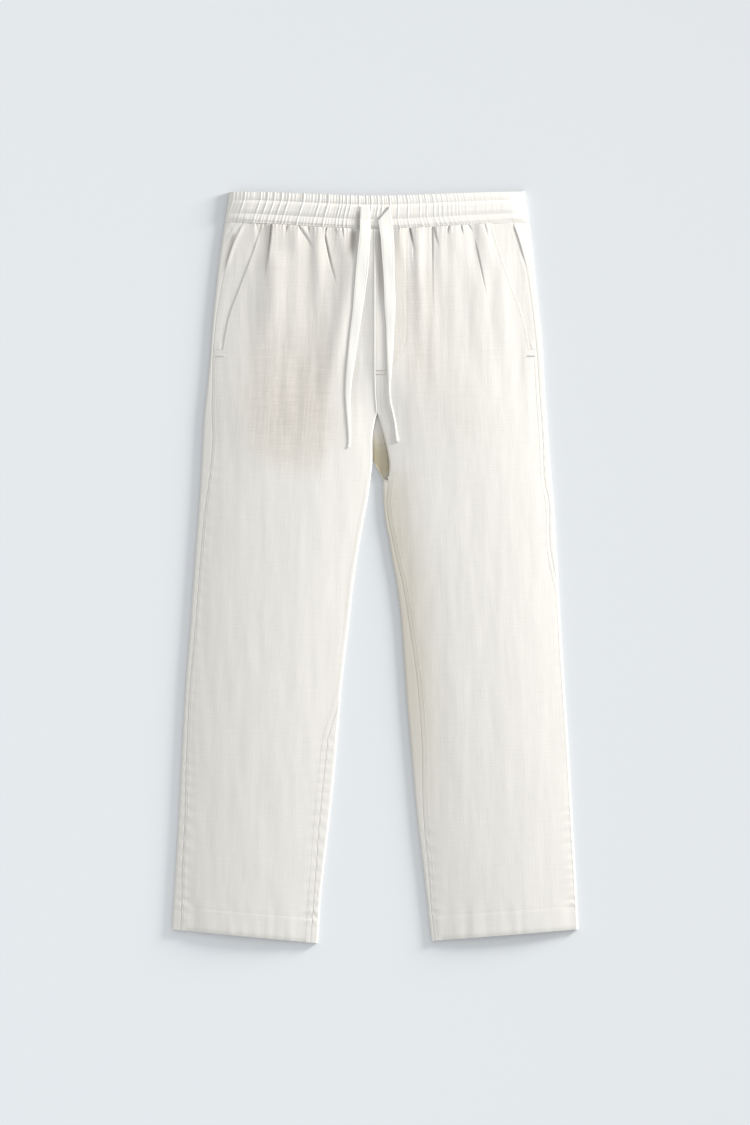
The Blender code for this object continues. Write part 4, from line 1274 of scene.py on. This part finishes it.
class Finish(Nodes):
    """One material."""

    def __init__(self, name):
        self.material = bpy.data.materials.new(name)
        self.material.use_nodes = True
        super().__init__(self.material.node_tree)
        self.tree.nodes.clear()
        self.shader = self.tree.nodes.new("ShaderNodeBsdfPrincipled")
        output = self.tree.nodes.new("ShaderNodeOutputMaterial")
        self.tree.links.new(self.shader.outputs[0], output.inputs["Surface"])

    def mix(self, factor, first, second, how="MIX"):
        """Mix two colours."""
        return self.node("ShaderNodeMix", {"data_type": "RGBA", "blend_type": how},
                         {0: factor, 6: first, 7: second}, 2)

    def toned(self, mask, colour, tone):
        """Multiply a colour by a tone, as far as a mask goes."""
        return self.mix(mask, colour, self.mix(1.0, colour, tone, "MULTIPLY"))

    def grey(self, level):
        """A colour or vector of three equal numbers."""
        return self.node("ShaderNodeCombineXYZ", None, {0: level, 1: level, 2: level})

    def scaled(self, vector, sizes):
        """Multiply a vector by three numbers."""
        return self.node("ShaderNodeVectorMath", {"operation": "MULTIPLY"}, {0: vector, 1: sizes})

    def noise(self, vector, across, up, detail=2.0):
        """Noise of about 0 to 1, with so many spots a millimetre across and up the cloth."""
        return self.node("ShaderNodeTexNoise", None,
                         {"Vector": self.scaled(vector, (across, up, 1.0)), "Scale": 1.0,
                          "Detail": detail, "Roughness": 0.55})

    def attribute(self, name):
        """A number that the mesh carries for each point."""
        return self.node("ShaderNodeAttribute", {"attribute_name": name}, None, 2)

    def relief(self, height, strength, distance):
        """Fine relief of a surface."""
        return self.node("ShaderNodeBump", None,
                         {"Strength": strength, "Distance": distance * MM, "Height": height})


# ---------------------------------------------------------------- finishes

def linen_finish(name, colour, slub, bump):
    """Plain-woven linen: uneven threads both ways, with slubs, shaded in its creases."""
    finish = Finish(name)
    cloth = finish.node("ShaderNodeUVMap", {"uv_map": "cloth"})
    cloth = finish.scaled(cloth, (1 / MM, 1 / MM, 1.0))
    across = finish.node("ShaderNodeSeparateXYZ", None, {0: cloth})
    up = Wire(finish, across.socket.node.outputs[1])

    # Two sets of threads that wander a little, and the slubs along them
    across = across + finish.noise(cloth, 0.30, 0.025, 1.0) * 1.1
    up = up + finish.noise(cloth, 0.025, 0.30, 1.0) * 1.1
    turn = math.pi / WEAVE
    over = finish.maths("SINE", across * turn) * finish.maths("SINE", up * turn)
    slubs = finish.noise(cloth, 0.60, 0.013) * 0.9
    slubs = slubs + finish.noise(cloth, 0.022, 0.62) * 0.7
    slubs = slubs + finish.noise(cloth, 1.7, 0.05, 1.0) * 0.7
    slubs = slubs + finish.noise(cloth, 0.07, 1.9, 1.0) * 0.6 - 1.45
    cloud = finish.noise(cloth, 0.018, 0.011)

    # Cloth that lies over a pocket bag shows its slubs more; the same mask carries painted shade over the
    # fly and the wearer's right hip
    pocket = finish.attribute("pocket")
    tone = slubs * (pocket * (4.0 * slub) + slub) + (cloud - 0.5) * (slub * 0.35) + over * 0.006 + 1.0
    light = finish.grey(tone)
    # Painted light on the band, lighter towards the lamp's side
    light = finish.mix(finish.attribute("painted_light"), light, finish.scaled(light, PAINTED_LIGHT_TONE))
    shown = finish.mix(1.0, colour, light, "MULTIPLY")
    # Tone of the pocket bags, and painted shade over the fly and the wearer's right hip
    shown = finish.toned(pocket, shown, BAG_AND_SHADE_TONE)
    # Painted shade where the back's inside shows at the crotch and beside the inner leg edges
    shown = finish.toned(finish.attribute("inside"), shown, INSIDE_SHADE_TONE)
    # Painted shade in creases, seams, stitch grooves and hollows
    shown = finish.toned(finish.attribute("shade"), shown, CREASE_SHADE_TONE)
    finish.fill(finish.shader, {
        "Base Color": shown,
        "Roughness": 0.92 - (slubs * 0.1),
        "Normal": finish.relief(over * 0.05 + slubs * 1.2, bump, 0.25),
        "Specular IOR Level": 0.25,
        "Sheen Weight": 0.12,
        "Sheen Roughness": 0.4,
    })
    return finish.material


def thread_finish():
    """Sewing thread: two plies twisted round each other."""
    finish = Finish("sewing_thread")
    place = finish.node("ShaderNodeTexCoord", None, None, 3)
    twist = finish.node("ShaderNodeTexWave", {"bands_direction": "DIAGONAL"},
                        {"Vector": finish.scaled(place, (1 / MM, 1 / MM, 1 / MM)), "Scale": 0.9})
    finish.fill(finish.shader, {
        "Base Color": finish.mix(twist, THREAD_COLOUR, THREAD_SHADE),
        "Roughness": 0.65,
        "Normal": finish.relief(twist, 0.4, 0.05),
    })
    return finish.material


def floor_finish(lamp_place):
    """Smooth pale surface that the trousers lie on, which deepens towards the lamp."""
    finish = Finish("pale_surface")
    place = finish.node("ShaderNodeTexCoord", None, None, 3)
    away = finish.node("ShaderNodeVectorMath", {"operation": "DISTANCE"}, {0: place, 1: lamp_place}, 1)
    near = finish.maths("POWER", LAMP_DISTANCE / away, 3.0)
    level = 1.0 / (near * LAMP_SHARE + (1.0 - LAMP_SHARE))
    finish.fill(finish.shader, {
        "Base Color": finish.scaled(finish.grey(level), FLOOR_COLOUR),
        "Roughness": 0.9,
        "Specular IOR Level": 0.1,
    })
    return finish.material


# ---------------------------------------------------------------- meshes

def show(name, data):
    """Make an object of some data and put it in the scene."""
    made = bpy.data.objects.new(name, data)
    bpy.context.scene.collection.objects.link(made)
    return made


class Surface:
    """Points, cloth coordinates and faces of one piece while it is made."""

    def __init__(self, rows=(), turned=False):
        self.points = []
        self.cloth = []
        self.shades = []
        self.faces = []
        numbers = [self.row(entries) for entries in rows]
        for near, far in zip(numbers, numbers[1:]):
            self.bridge(near, far)
        if turned:
            self.faces = [face[::-1] for face in self.faces]

    def row(self, entries):
        """Add a row of (x, y, z, across, shade) and give the points' numbers."""
        first = len(self.points)
        for x, y, z, across, shade in entries:
            self.points.append((x * MM, y * MM, z * MM))
            self.cloth.append((across * MM, y * MM))
            self.shades.append(shade)
        return list(range(first, len(self.points)))

    def bridge(self, near, far):
        """Join two rows with quads, or with triangles where they differ in count."""
        if len(far) == len(near) + len(STRIP_EDGE):
            far = far[len(STRIP_EDGE):]
        if len(near) == len(far):
            for k in range(len(near) - 1):
                self.faces.append((near[k], near[k + 1], far[k + 1], far[k]))
            return
        a = 0
        b = 0
        while a < len(near) - 1 or b < len(far) - 1:
            near_first = b == len(far) - 1
            if a < len(near) - 1 and not near_first:
                near_first = self.cloth[near[a + 1]][0] <= self.cloth[far[b + 1]][0]
            if near_first:
                self.faces.append((near[a], near[a + 1], far[b]))
                a += 1
            else:
                self.faces.append((near[a], far[b + 1], far[b]))
                b += 1

    def close_end(self, loop, middle, turned):
        """Close the end of a tube with a fan of triangles."""
        end = len(self.points)
        self.points.append(middle)
        self.cloth.append((0.0, middle[1]))
        self.shades.append(0.0)
        for corner, following in zip(loop, loop[1:] + loop[:1]):
            self.faces.append((following, corner, end) if turned else (corner, following, end))

    def make(self, name, material, masks=None):
        """Make the object, with its cloth coordinates and its masks for each point."""
        mesh = bpy.data.meshes.new(name)
        mesh.from_pydata(self.points, [], self.faces)
        mesh.materials.append(material)
        layer = mesh.uv_layers.new(name="cloth")
        corners = [0] * len(mesh.loops)
        mesh.loops.foreach_get("vertex_index", corners)
        layer.data.foreach_set("uv", [value for corner in corners for value in self.cloth[corner]])
        values = {"shade": self.shades}
        for mask, share in (masks or {}).items():
            values[mask] = [share(x / MM, y / MM) for x, y, _ in self.points]
        for mask, numbers in values.items():
            attribute = mesh.attributes.new(mask, "FLOAT", "POINT")
            attribute.data.foreach_set("value", numbers)
        mesh.shade_smooth()
        return show(name, mesh)


def clear_underside(mesh):
    """Keep the painted shade of the cloth's inside off the faces that look down."""
    tint = mesh.attributes.get("inside")
    if tint:
        for point, value in zip(mesh.vertices, tint.data):
            if point.normal.z < -0.2:
                value.value = 0.0


def thicken(piece):
    """Give a sheet its wall, towards the inside."""
    wall = piece.modifiers.new("wall", "SOLIDIFY")
    wall.thickness = CLOTH * MM
    wall.offset = -1.0
    wall.use_even_offset = False
    bpy.context.view_layer.update()
    graph = bpy.context.evaluated_depsgraph_get()
    mesh = bpy.data.meshes.new_from_object(piece.evaluated_get(graph), preserve_all_data_layers=True,
                                           depsgraph=graph)
    piece.modifiers.clear()
    before = piece.data
    piece.data = mesh
    bpy.data.meshes.remove(before)
    mesh.name = piece.name
    mesh.set_sharp_from_angle(angle=SHARP_ANGLE)
    clear_underside(mesh)


def carry(piece, slot, *nodes):
    """Let a piece ride on the trousers and stand for its solids."""
    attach(piece, "root")
    if nodes:
        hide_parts(*nodes)


def bag_and_shade_mask(x, y):
    """Where the pocket bags show through the front and tint it, with painted shade over the fly, beside it
    and on the wearer's right hip.
    """
    across = smooth((abs(x) - 10.0) / 50.0)
    bag = 0.28 * across * smooth((y - 135.0) / 70.0) * (1.0 - 0.6 * smooth((abs(x) - 140.0) / 40.0))
    if x > 0.0:
        # Painted shade over the fly
        fly = smooth((y - 215.0) / 40.0) * smooth((FLY_CENTRE + fly_edge(y) + 1.0 - x) / 3.0)
        # Painted shade beside the fly
        near_fly = smooth((y - 215.0) / 70.0) * smooth((430.0 - y) / 70.0) * smooth((x - 30.0) / 20.0)
        near_fly *= smooth((100.0 - x) / 35.0)
        return 0.45 * bag + 0.36 * fly * smooth((x - 12.0) / 8.0) + 0.34 * near_fly
    # Painted shade on the wearer's right hip
    low = 118.0 + 12.0 * math.sin((x + 60.0) / 30.0)
    deep = smooth((y - low) / 50.0) * smooth((350.0 - y) / 130.0) * smooth((x + 205.0) / 80.0)
    return bag + 0.55 * deep * smooth((-52.0 - x) / 20.0)


def inside_shade_mask(x, y):
    """Painted shade where the inside of the back shows at the crotch, and on the shaded cloth below it."""
    if x < -8.0:
        return 0.0
    crotch = smooth((y - 104.0) / 28.0) * smooth((200.0 - y) / 55.0) * smooth((40.0 - abs(x - 6.0)) / 10.0)
    below = 0.40 * smooth((y + 420.0) / 300.0) * smooth((130.0 - y) / 40.0) * smooth((95.0 - x) / 10.0)
    return max(crotch, below)


def inner_edge_mask(x, y):
    """Painted shade where the left leg's inner edge turns away from the light."""
    if x < 0.0 or y > APEX_ROW:
        return 0.0
    edge = along(FRONT_INNER, "left", y) if y > FRONT_JOIN_ROW else along(BACK_INNER, "left", y)
    crotch = 0.18 * bell(x - edge, 5.0) * smooth((y - 90.0) / 30.0) * smooth((APEX_ROW - y) / 16.0)
    below = 0.50 * bell(x - edge, 34.0) * smooth((y + 420.0) / 300.0) * smooth((150.0 - y) / 60.0)
    return max(crotch, below)


def painted_light_mask(x, _):
    """Painted light: the gathered cloth is made lighter towards the wearer's left, the side the lamp is on.
    """
    return smooth((x + 235.0) / 330.0)


def make_panels(linen):
    """Make the fronts, backs, pocket facings and the two parts of the waistband."""
    hips = [(row, HIP_COLUMNS) for row in HIP_ROWS]
    legs = [(row, LEG_COLUMNS) for row in LEG_ROWS]
    backs = [(row, BACK_COLUMNS) for row in HIP_ROWS + LEG_ROWS]
    mouths = [(row, FACING_COLUMNS) for row in HIP_ROWS if row > MOUTH_END_ROW]
    mouths.append((MOUTH_END_ROW - 0.2, FACING_COLUMNS))
    kinds = {
        "front": (front_row, hips + legs, {"pocket": bag_and_shade_mask, "inside": inner_edge_mask}),
        "back": (back_row, backs, {"inside": inside_shade_mask}),
        "pocket_facing": (facing_row, mouths, {"pocket": bag_and_shade_mask}),
    }
    pieces = {}
    for side in SIDES:
        for kind, (make_row, rows, masks) in kinds.items():
            surface = Surface([make_row(side, row, columns) for row, columns in rows], side == "right")
            node = kind + "_" + side
            pieces[node] = surface.make("linen_" + node, linen, masks)
    for node, rows in (("waistband_front", band_front_points()), ("waistband_back", band_back_points())):
        surface = Surface(rows, node == "waistband_back")
        pieces[node] = surface.make("linen_" + node, linen, {"painted_light": painted_light_mask})
    return pieces


# ---------------------------------------------------------------- drawstring

def on_garment(x, y):
    """Height of the garment's top face at a place."""
    side = "left" if x > FLY_CENTRE else "right"
    middle = smooth(1.0 - abs(x) / BAND_BOTTOM_HALF[side])
    share = y - waist_seam(side, x)
    share /= BAND_HEIGHT_SIDE + (BAND_HEIGHT_CENTRE - BAND_HEIGHT_SIDE) * middle
    if share >= 0.0:
        return band_form(x, min(share, 1.0))[0]
    section = Section(side, min(y, WAIST_ROW))
    for _ in range(3):
        row = y - section.shift(min(max(abs(x - section.outer) / section.width, 0.0), 1.0))
        section = Section(side, min(row, WAIST_ROW))
    depth = abs(x - section.outer)
    return section.top(depth) + section.relief(x, y, depth)[0] + section.mouth_lift(depth)


def make_tape(side, finish):
    """Make one free end of the drawstring: a flat tape that rolls in towards its tip."""
    stations = TAPES[side]
    first = stations["y"][-1]
    last = stations["y"][0]
    places = spaced(first, last, round((first - last) / TAPE_STEP) + 1)
    resting = []
    for y in places:
        x = along(stations, "x", y)
        half = along(stations, "width", y) / 2
        resting.append(max(on_garment(x + part * half, y) for part in (-0.9, -0.45, 0.0, 0.45, 0.9)))
    surface = Surface()
    loops = []
    path = []
    for place, y in enumerate(places):
        near = resting[max(0, place - 4):place + 5]
        under = 0.5 * (max(near) + sum(near) / len(near))
        under += along(stations, "lift", y) + TAPE_CLEARANCE
        x = along(stations, "x", y)
        width = along(stations, "width", y)
        rolled = 1.0 - min(width / TAPE_WIDTH, 1.0)
        flat = 1.0 - rolled
        thick = (TAPE_THIN + TAPE_ROLLED * rolled) * along(stations, "thickness", y)
        slant = along(stations, "slant", y)
        path.append((x * MM, y * MM, (under + thick / 2) * MM))
        loop = []
        for k in range(TAPE_AROUND):
            angle = 2 * math.pi * k / TAPE_AROUND
            across = math.copysign(abs(math.cos(angle)) ** (0.45 + 0.4 * rolled), math.cos(angle))
            up = math.copysign(abs(math.sin(angle)) ** 0.75, math.sin(angle))
            from_hem = abs(across) - TAPE_HEM
            hem = 0.12 * bell(from_hem, 0.07) * flat * max(up, 0.0)
            wave = 0.12 * math.sin(y / 13.0 + across * 1.7) * flat
            sag = -0.15 * (1.0 - across * across) * flat
            z = under + thick / 2 * (1.0 + up) + wave + sag + 0.22 * flat - hem
            shade = 0.25 * bell(from_hem, 0.05) * flat
            loop.append((x + across * width / 2, y + across * slant / 2, z, across * TAPE_WIDTH / 2, shade))
        loops.append(surface.row(loop))
    for near, far in zip(loops, loops[1:]):
        surface.bridge(near + near[:1], far + far[:1])
    surface.close_end(loops[0], path[0], True)
    surface.close_end(loops[-1], path[-1], False)
    return surface.make("linen_drawstring_end_" + side, finish), path


# ---------------------------------------------------------------- stitching

def stitch_tree(thread):
    """A Geometry Nodes tree that lays stitches along a curve."""
    tree = bpy.data.node_groups.new("lay_stitches", "GeometryNodeTree")
    tree.interface.new_socket("Line", in_out="INPUT", socket_type="NodeSocketGeometry")
    names = {}
    for name in ("Pitch", "Length", "Thread"):
        socket = tree.interface.new_socket(name, in_out="INPUT", socket_type="NodeSocketFloat")
        names[name] = socket.identifier
    tree.interface.new_socket("Stitches", in_out="OUTPUT", socket_type="NodeSocketGeometry")
    nodes = Nodes(tree)
    group = tree.nodes.new("NodeGroupInput")
    line, pitch, length, thick = (Wire(nodes, group.outputs[name]) for name in ("Line", *names))
    points = nodes.node("GeometryNodeResampleCurve", {"mode": "LENGTH"}, {"Curve": line, "Length": pitch})
    bead = nodes.node("GeometryNodeMeshUVSphere", None, {"Segments": 6, "Rings": 5, "Radius": 0.5})
    bead = nodes.node("GeometryNodeTransform", None,
                      {"Geometry": bead, "Rotation": (0.0, math.pi / 2, 0.0)})
    sizes = nodes.node("ShaderNodeCombineXYZ", None, {0: length, 1: thick, 2: thick})
    bead = nodes.node("GeometryNodeTransform", None, {"Geometry": bead, "Scale": sizes})
    tangent = nodes.node("GeometryNodeInputTangent")
    turned = nodes.node("FunctionNodeAlignRotationToVector", {"axis": "X"}, {"Vector": tangent})
    uneven = nodes.node("FunctionNodeRandomValue", {"data_type": "FLOAT_VECTOR"},
                        {"Min": (0.86, 0.85, 0.85), "Max": (1.08, 1.1, 1.1), "Seed": 4})
    laid = nodes.node("GeometryNodeInstanceOnPoints", None,
                      {"Points": points, "Instance": bead, "Rotation": turned, "Scale": uneven})
    laid = nodes.node("GeometryNodeRealizeInstances", None, {"Geometry": laid})
    laid = nodes.node("GeometryNodeSetShadeSmooth", None, {"Geometry": laid})
    laid = nodes.node("GeometryNodeSetMaterial", None, {"Geometry": laid, "Material": thread})
    nodes.fill(tree.nodes.new("NodeGroupOutput"), {"Stitches": laid})
    return tree, names


def sew(name, lines, tree, names, pitch=STITCH_PITCH, length=STITCH_LENGTH, thread=STITCH_THREAD):
    """Lay stitches along lines of points and turn them into one plain mesh."""
    curve = bpy.data.curves.new(name, "CURVE")
    curve.dimensions = "3D"
    for line in lines:
        spline = curve.splines.new("POLY")
        spline.points.add(len(line) - 1)
        for point, (x, y, z) in zip(spline.points, line):
            point.co = (x * MM, y * MM, z * MM, 1.0)
    holder = show(name + "_line", curve)
    nodes = holder.modifiers.new("stitches", "NODES")
    nodes.node_group = tree
    nodes[names["Pitch"]] = pitch * MM
    nodes[names["Length"]] = length * MM
    nodes[names["Thread"]] = thread * MM
    bpy.context.view_layer.update()
    graph = bpy.context.evaluated_depsgraph_get()
    mesh = bpy.data.meshes.new_from_object(holder.evaluated_get(graph), depsgraph=graph)
    bpy.data.objects.remove(holder, do_unlink=True)
    mesh.name = name
    return show(name, mesh)


def above(x, y, height=STITCH_ABOVE):
    """Point a little above the garment's top face."""
    return x, y, on_garment(x, y) + height


def front_line(side, rows, arc_of):
    """Line on a front: one point for each row, at the arc that arc_of gives for its section."""
    line = []
    for row in rows:
        section = Section(side, row)
        (x, y, z), _ = section.front_point(arc_of(section))
        line.append((x, y, z + STITCH_ABOVE))
    return line


def hem_line(side, row):
    """Line of stitches across a hem."""
    section = Section(side, row)
    line = []
    for arc in spaced(section.front_start() + 1.0, section.front_length() - 1.0, 70):
        (x, y, z), _ = section.front_point(arc)
        line.append((x, y, z + STITCH_ABOVE))
    return line


def band_line(share):
    """Line of stitches along the front band and round to its side folds."""
    start, end = (sign * (BAND_BOTTOM_HALF[side] - BAND_FOLD_RADIUS - 1.0) for side, sign in SIDES.items())
    return [(band_x(base, share), band_y(base, share), band_form(base, share)[0] + BAND_STITCH_ABOVE)
            for base in spaced(start, end, 260)]


def fly_line():
    """Line of stitches down the fly's edge and round its J."""
    line = []
    width = FLY_WIDTH - FLY_STITCH_IN
    for place in spaced(0.0, 1.0, 90):
        if place < FLY_STRAIGHT:
            y = FLY_TOP + (FLY_LOW + FLY_CURVE - FLY_TOP) * place / FLY_STRAIGHT
            x = FLY_CENTRE + width
        else:
            angle = (place - FLY_STRAIGHT) / 0.45 * math.pi * 0.46
            x = FLY_CENTRE + width * math.cos(angle)
            y = FLY_LOW + FLY_STITCH_IN + FLY_CURVE * (1.0 - math.sin(angle))
        line.append(above(x, y))
    return line


def sew_all(thread):
    """Sew every visible line of stitching."""
    tree, names = stitch_tree(thread)
    seams = []
    mouths = []
    for side in SIDES:
        rows = spaced(MOUTH_END_ROW - 3.0, HEM_ROW + 2.0, 190)
        seams.append(front_line(side, rows, lambda section: section.front_start() + SIDE_STITCH_IN))
        rows = spaced(LEG_FORM_ROW, HEM_ROW + 2.0, 150)
        seams.append(front_line(side, rows, lambda section: section.front_length() - INNER_STITCH_IN))
        seams.append(hem_line(side, HEM_ROW + HEM_DEPTH - HEM_STITCH_IN))
        rows = spaced(WAIST_ROW - 2.0, MOUTH_END_ROW + 0.5, 70)
        mouths.append(front_line(side, rows, lambda section: section.front_start() + MOUTH_STITCH_IN))

    # The fly's J, and two short lines at the foot of the centre seam
    fly = [fly_line()]
    fly += [[above(x, y) for y in spaced(254.0, 211.0, 24)] for x in (4.6, 8.2)]

    # Bar tacks across the fly's foot and below the pocket mouths
    bars = [[above(x, y, TACK_ABOVE) for x in spaced(2.2, 14.6, 12)] for y in (263.2, 258.2)]
    bars += [[above(x + off, 282.6, TACK_ABOVE) for off in spaced(-4.5, 4.5, 8)] for x in (210.0, -206.0)]

    band = [band_line(share) for share in STITCH_SHARES]
    return [
        sew("seam_stitching", seams, tree, names),
        sew("pocket_stitching", mouths, tree, names),
        sew("fly_stitching", fly, tree, names),
        sew("bar_tacks", bars, tree, names, *TACK_STITCH),
        sew("waistband_stitching", band, tree, names, *BAND_STITCH),
    ]


# ---------------------------------------------------------------- scene

def stage_and_light():
    """Pale surface, low soft light from the upper right, even light from above, and the camera."""
    reach = math.cos(LAMP_HEIGHT_ANGLE)
    direction = Vector((math.cos(LAMP_AZIMUTH) * reach, math.sin(LAMP_AZIMUTH) * reach,
                        math.sin(LAMP_HEIGHT_ANGLE)))
    place = direction * LAMP_DISTANCE

    corners = ((-1, -1), (1, -1), (1, 1), (-1, 1))
    mesh = bpy.data.meshes.new("surface")
    mesh.from_pydata([(FLOOR_HALF * x, FLOOR_HALF * y, 0.0) for x, y in corners], [], [(0, 1, 2, 3)])
    mesh.materials.append(floor_finish(place))
    show("surface", mesh)

    low = bpy.data.lights.new("low_light", "AREA")
    low.shape = "DISK"
    low.size = LAMP_SIZE
    low.energy = LAMP_POWER
    low.color = LAMP_COLOUR
    lamp = show("low_light", low)
    lamp.location = place
    lamp.rotation_euler = direction.to_track_quat("Z", "Y").to_euler()

    world = bpy.data.worlds.new("even_light")
    world.use_nodes = True
    background = world.node_tree.nodes["Background"]
    background.inputs["Color"].default_value = WORLD_COLOUR
    background.inputs["Strength"].default_value = WORLD_STRENGTH
    bpy.context.scene.world = world

    camera = bpy.data.cameras.new("camera")
    camera.sensor_width = SENSOR
    camera.lens = SENSOR * CAMERA_HEIGHT / (VIEW_HEIGHT * MM)
    camera.clip_end = 100.0
    eye = show("camera", camera)
    eye.location = (VIEW_CENTRE[0] * MM, VIEW_CENTRE[1] * MM, CAMERA_HEIGHT)
    bpy.context.scene.camera = eye
    bpy.context.scene.view_settings.view_transform = "Standard"


stage_and_light()

linen = linen_finish("linen", LINEN, slub=0.085, bump=0.32)
tape_linen = linen_finish("linen_tape", TAPE_LINEN, slub=0.05, bump=0.35)
thread = thread_finish()

for side in SIDES:
    tape, path = make_tape(side, tape_linen)
    carry(tape, "linen_tape", "drawstring_end_" + side)

panels = make_panels(linen)
for node, piece in panels.items():
    thicken(piece)
    carry(piece, "linen", node)

for piece in sew_all(thread):
    carry(piece, "linen")
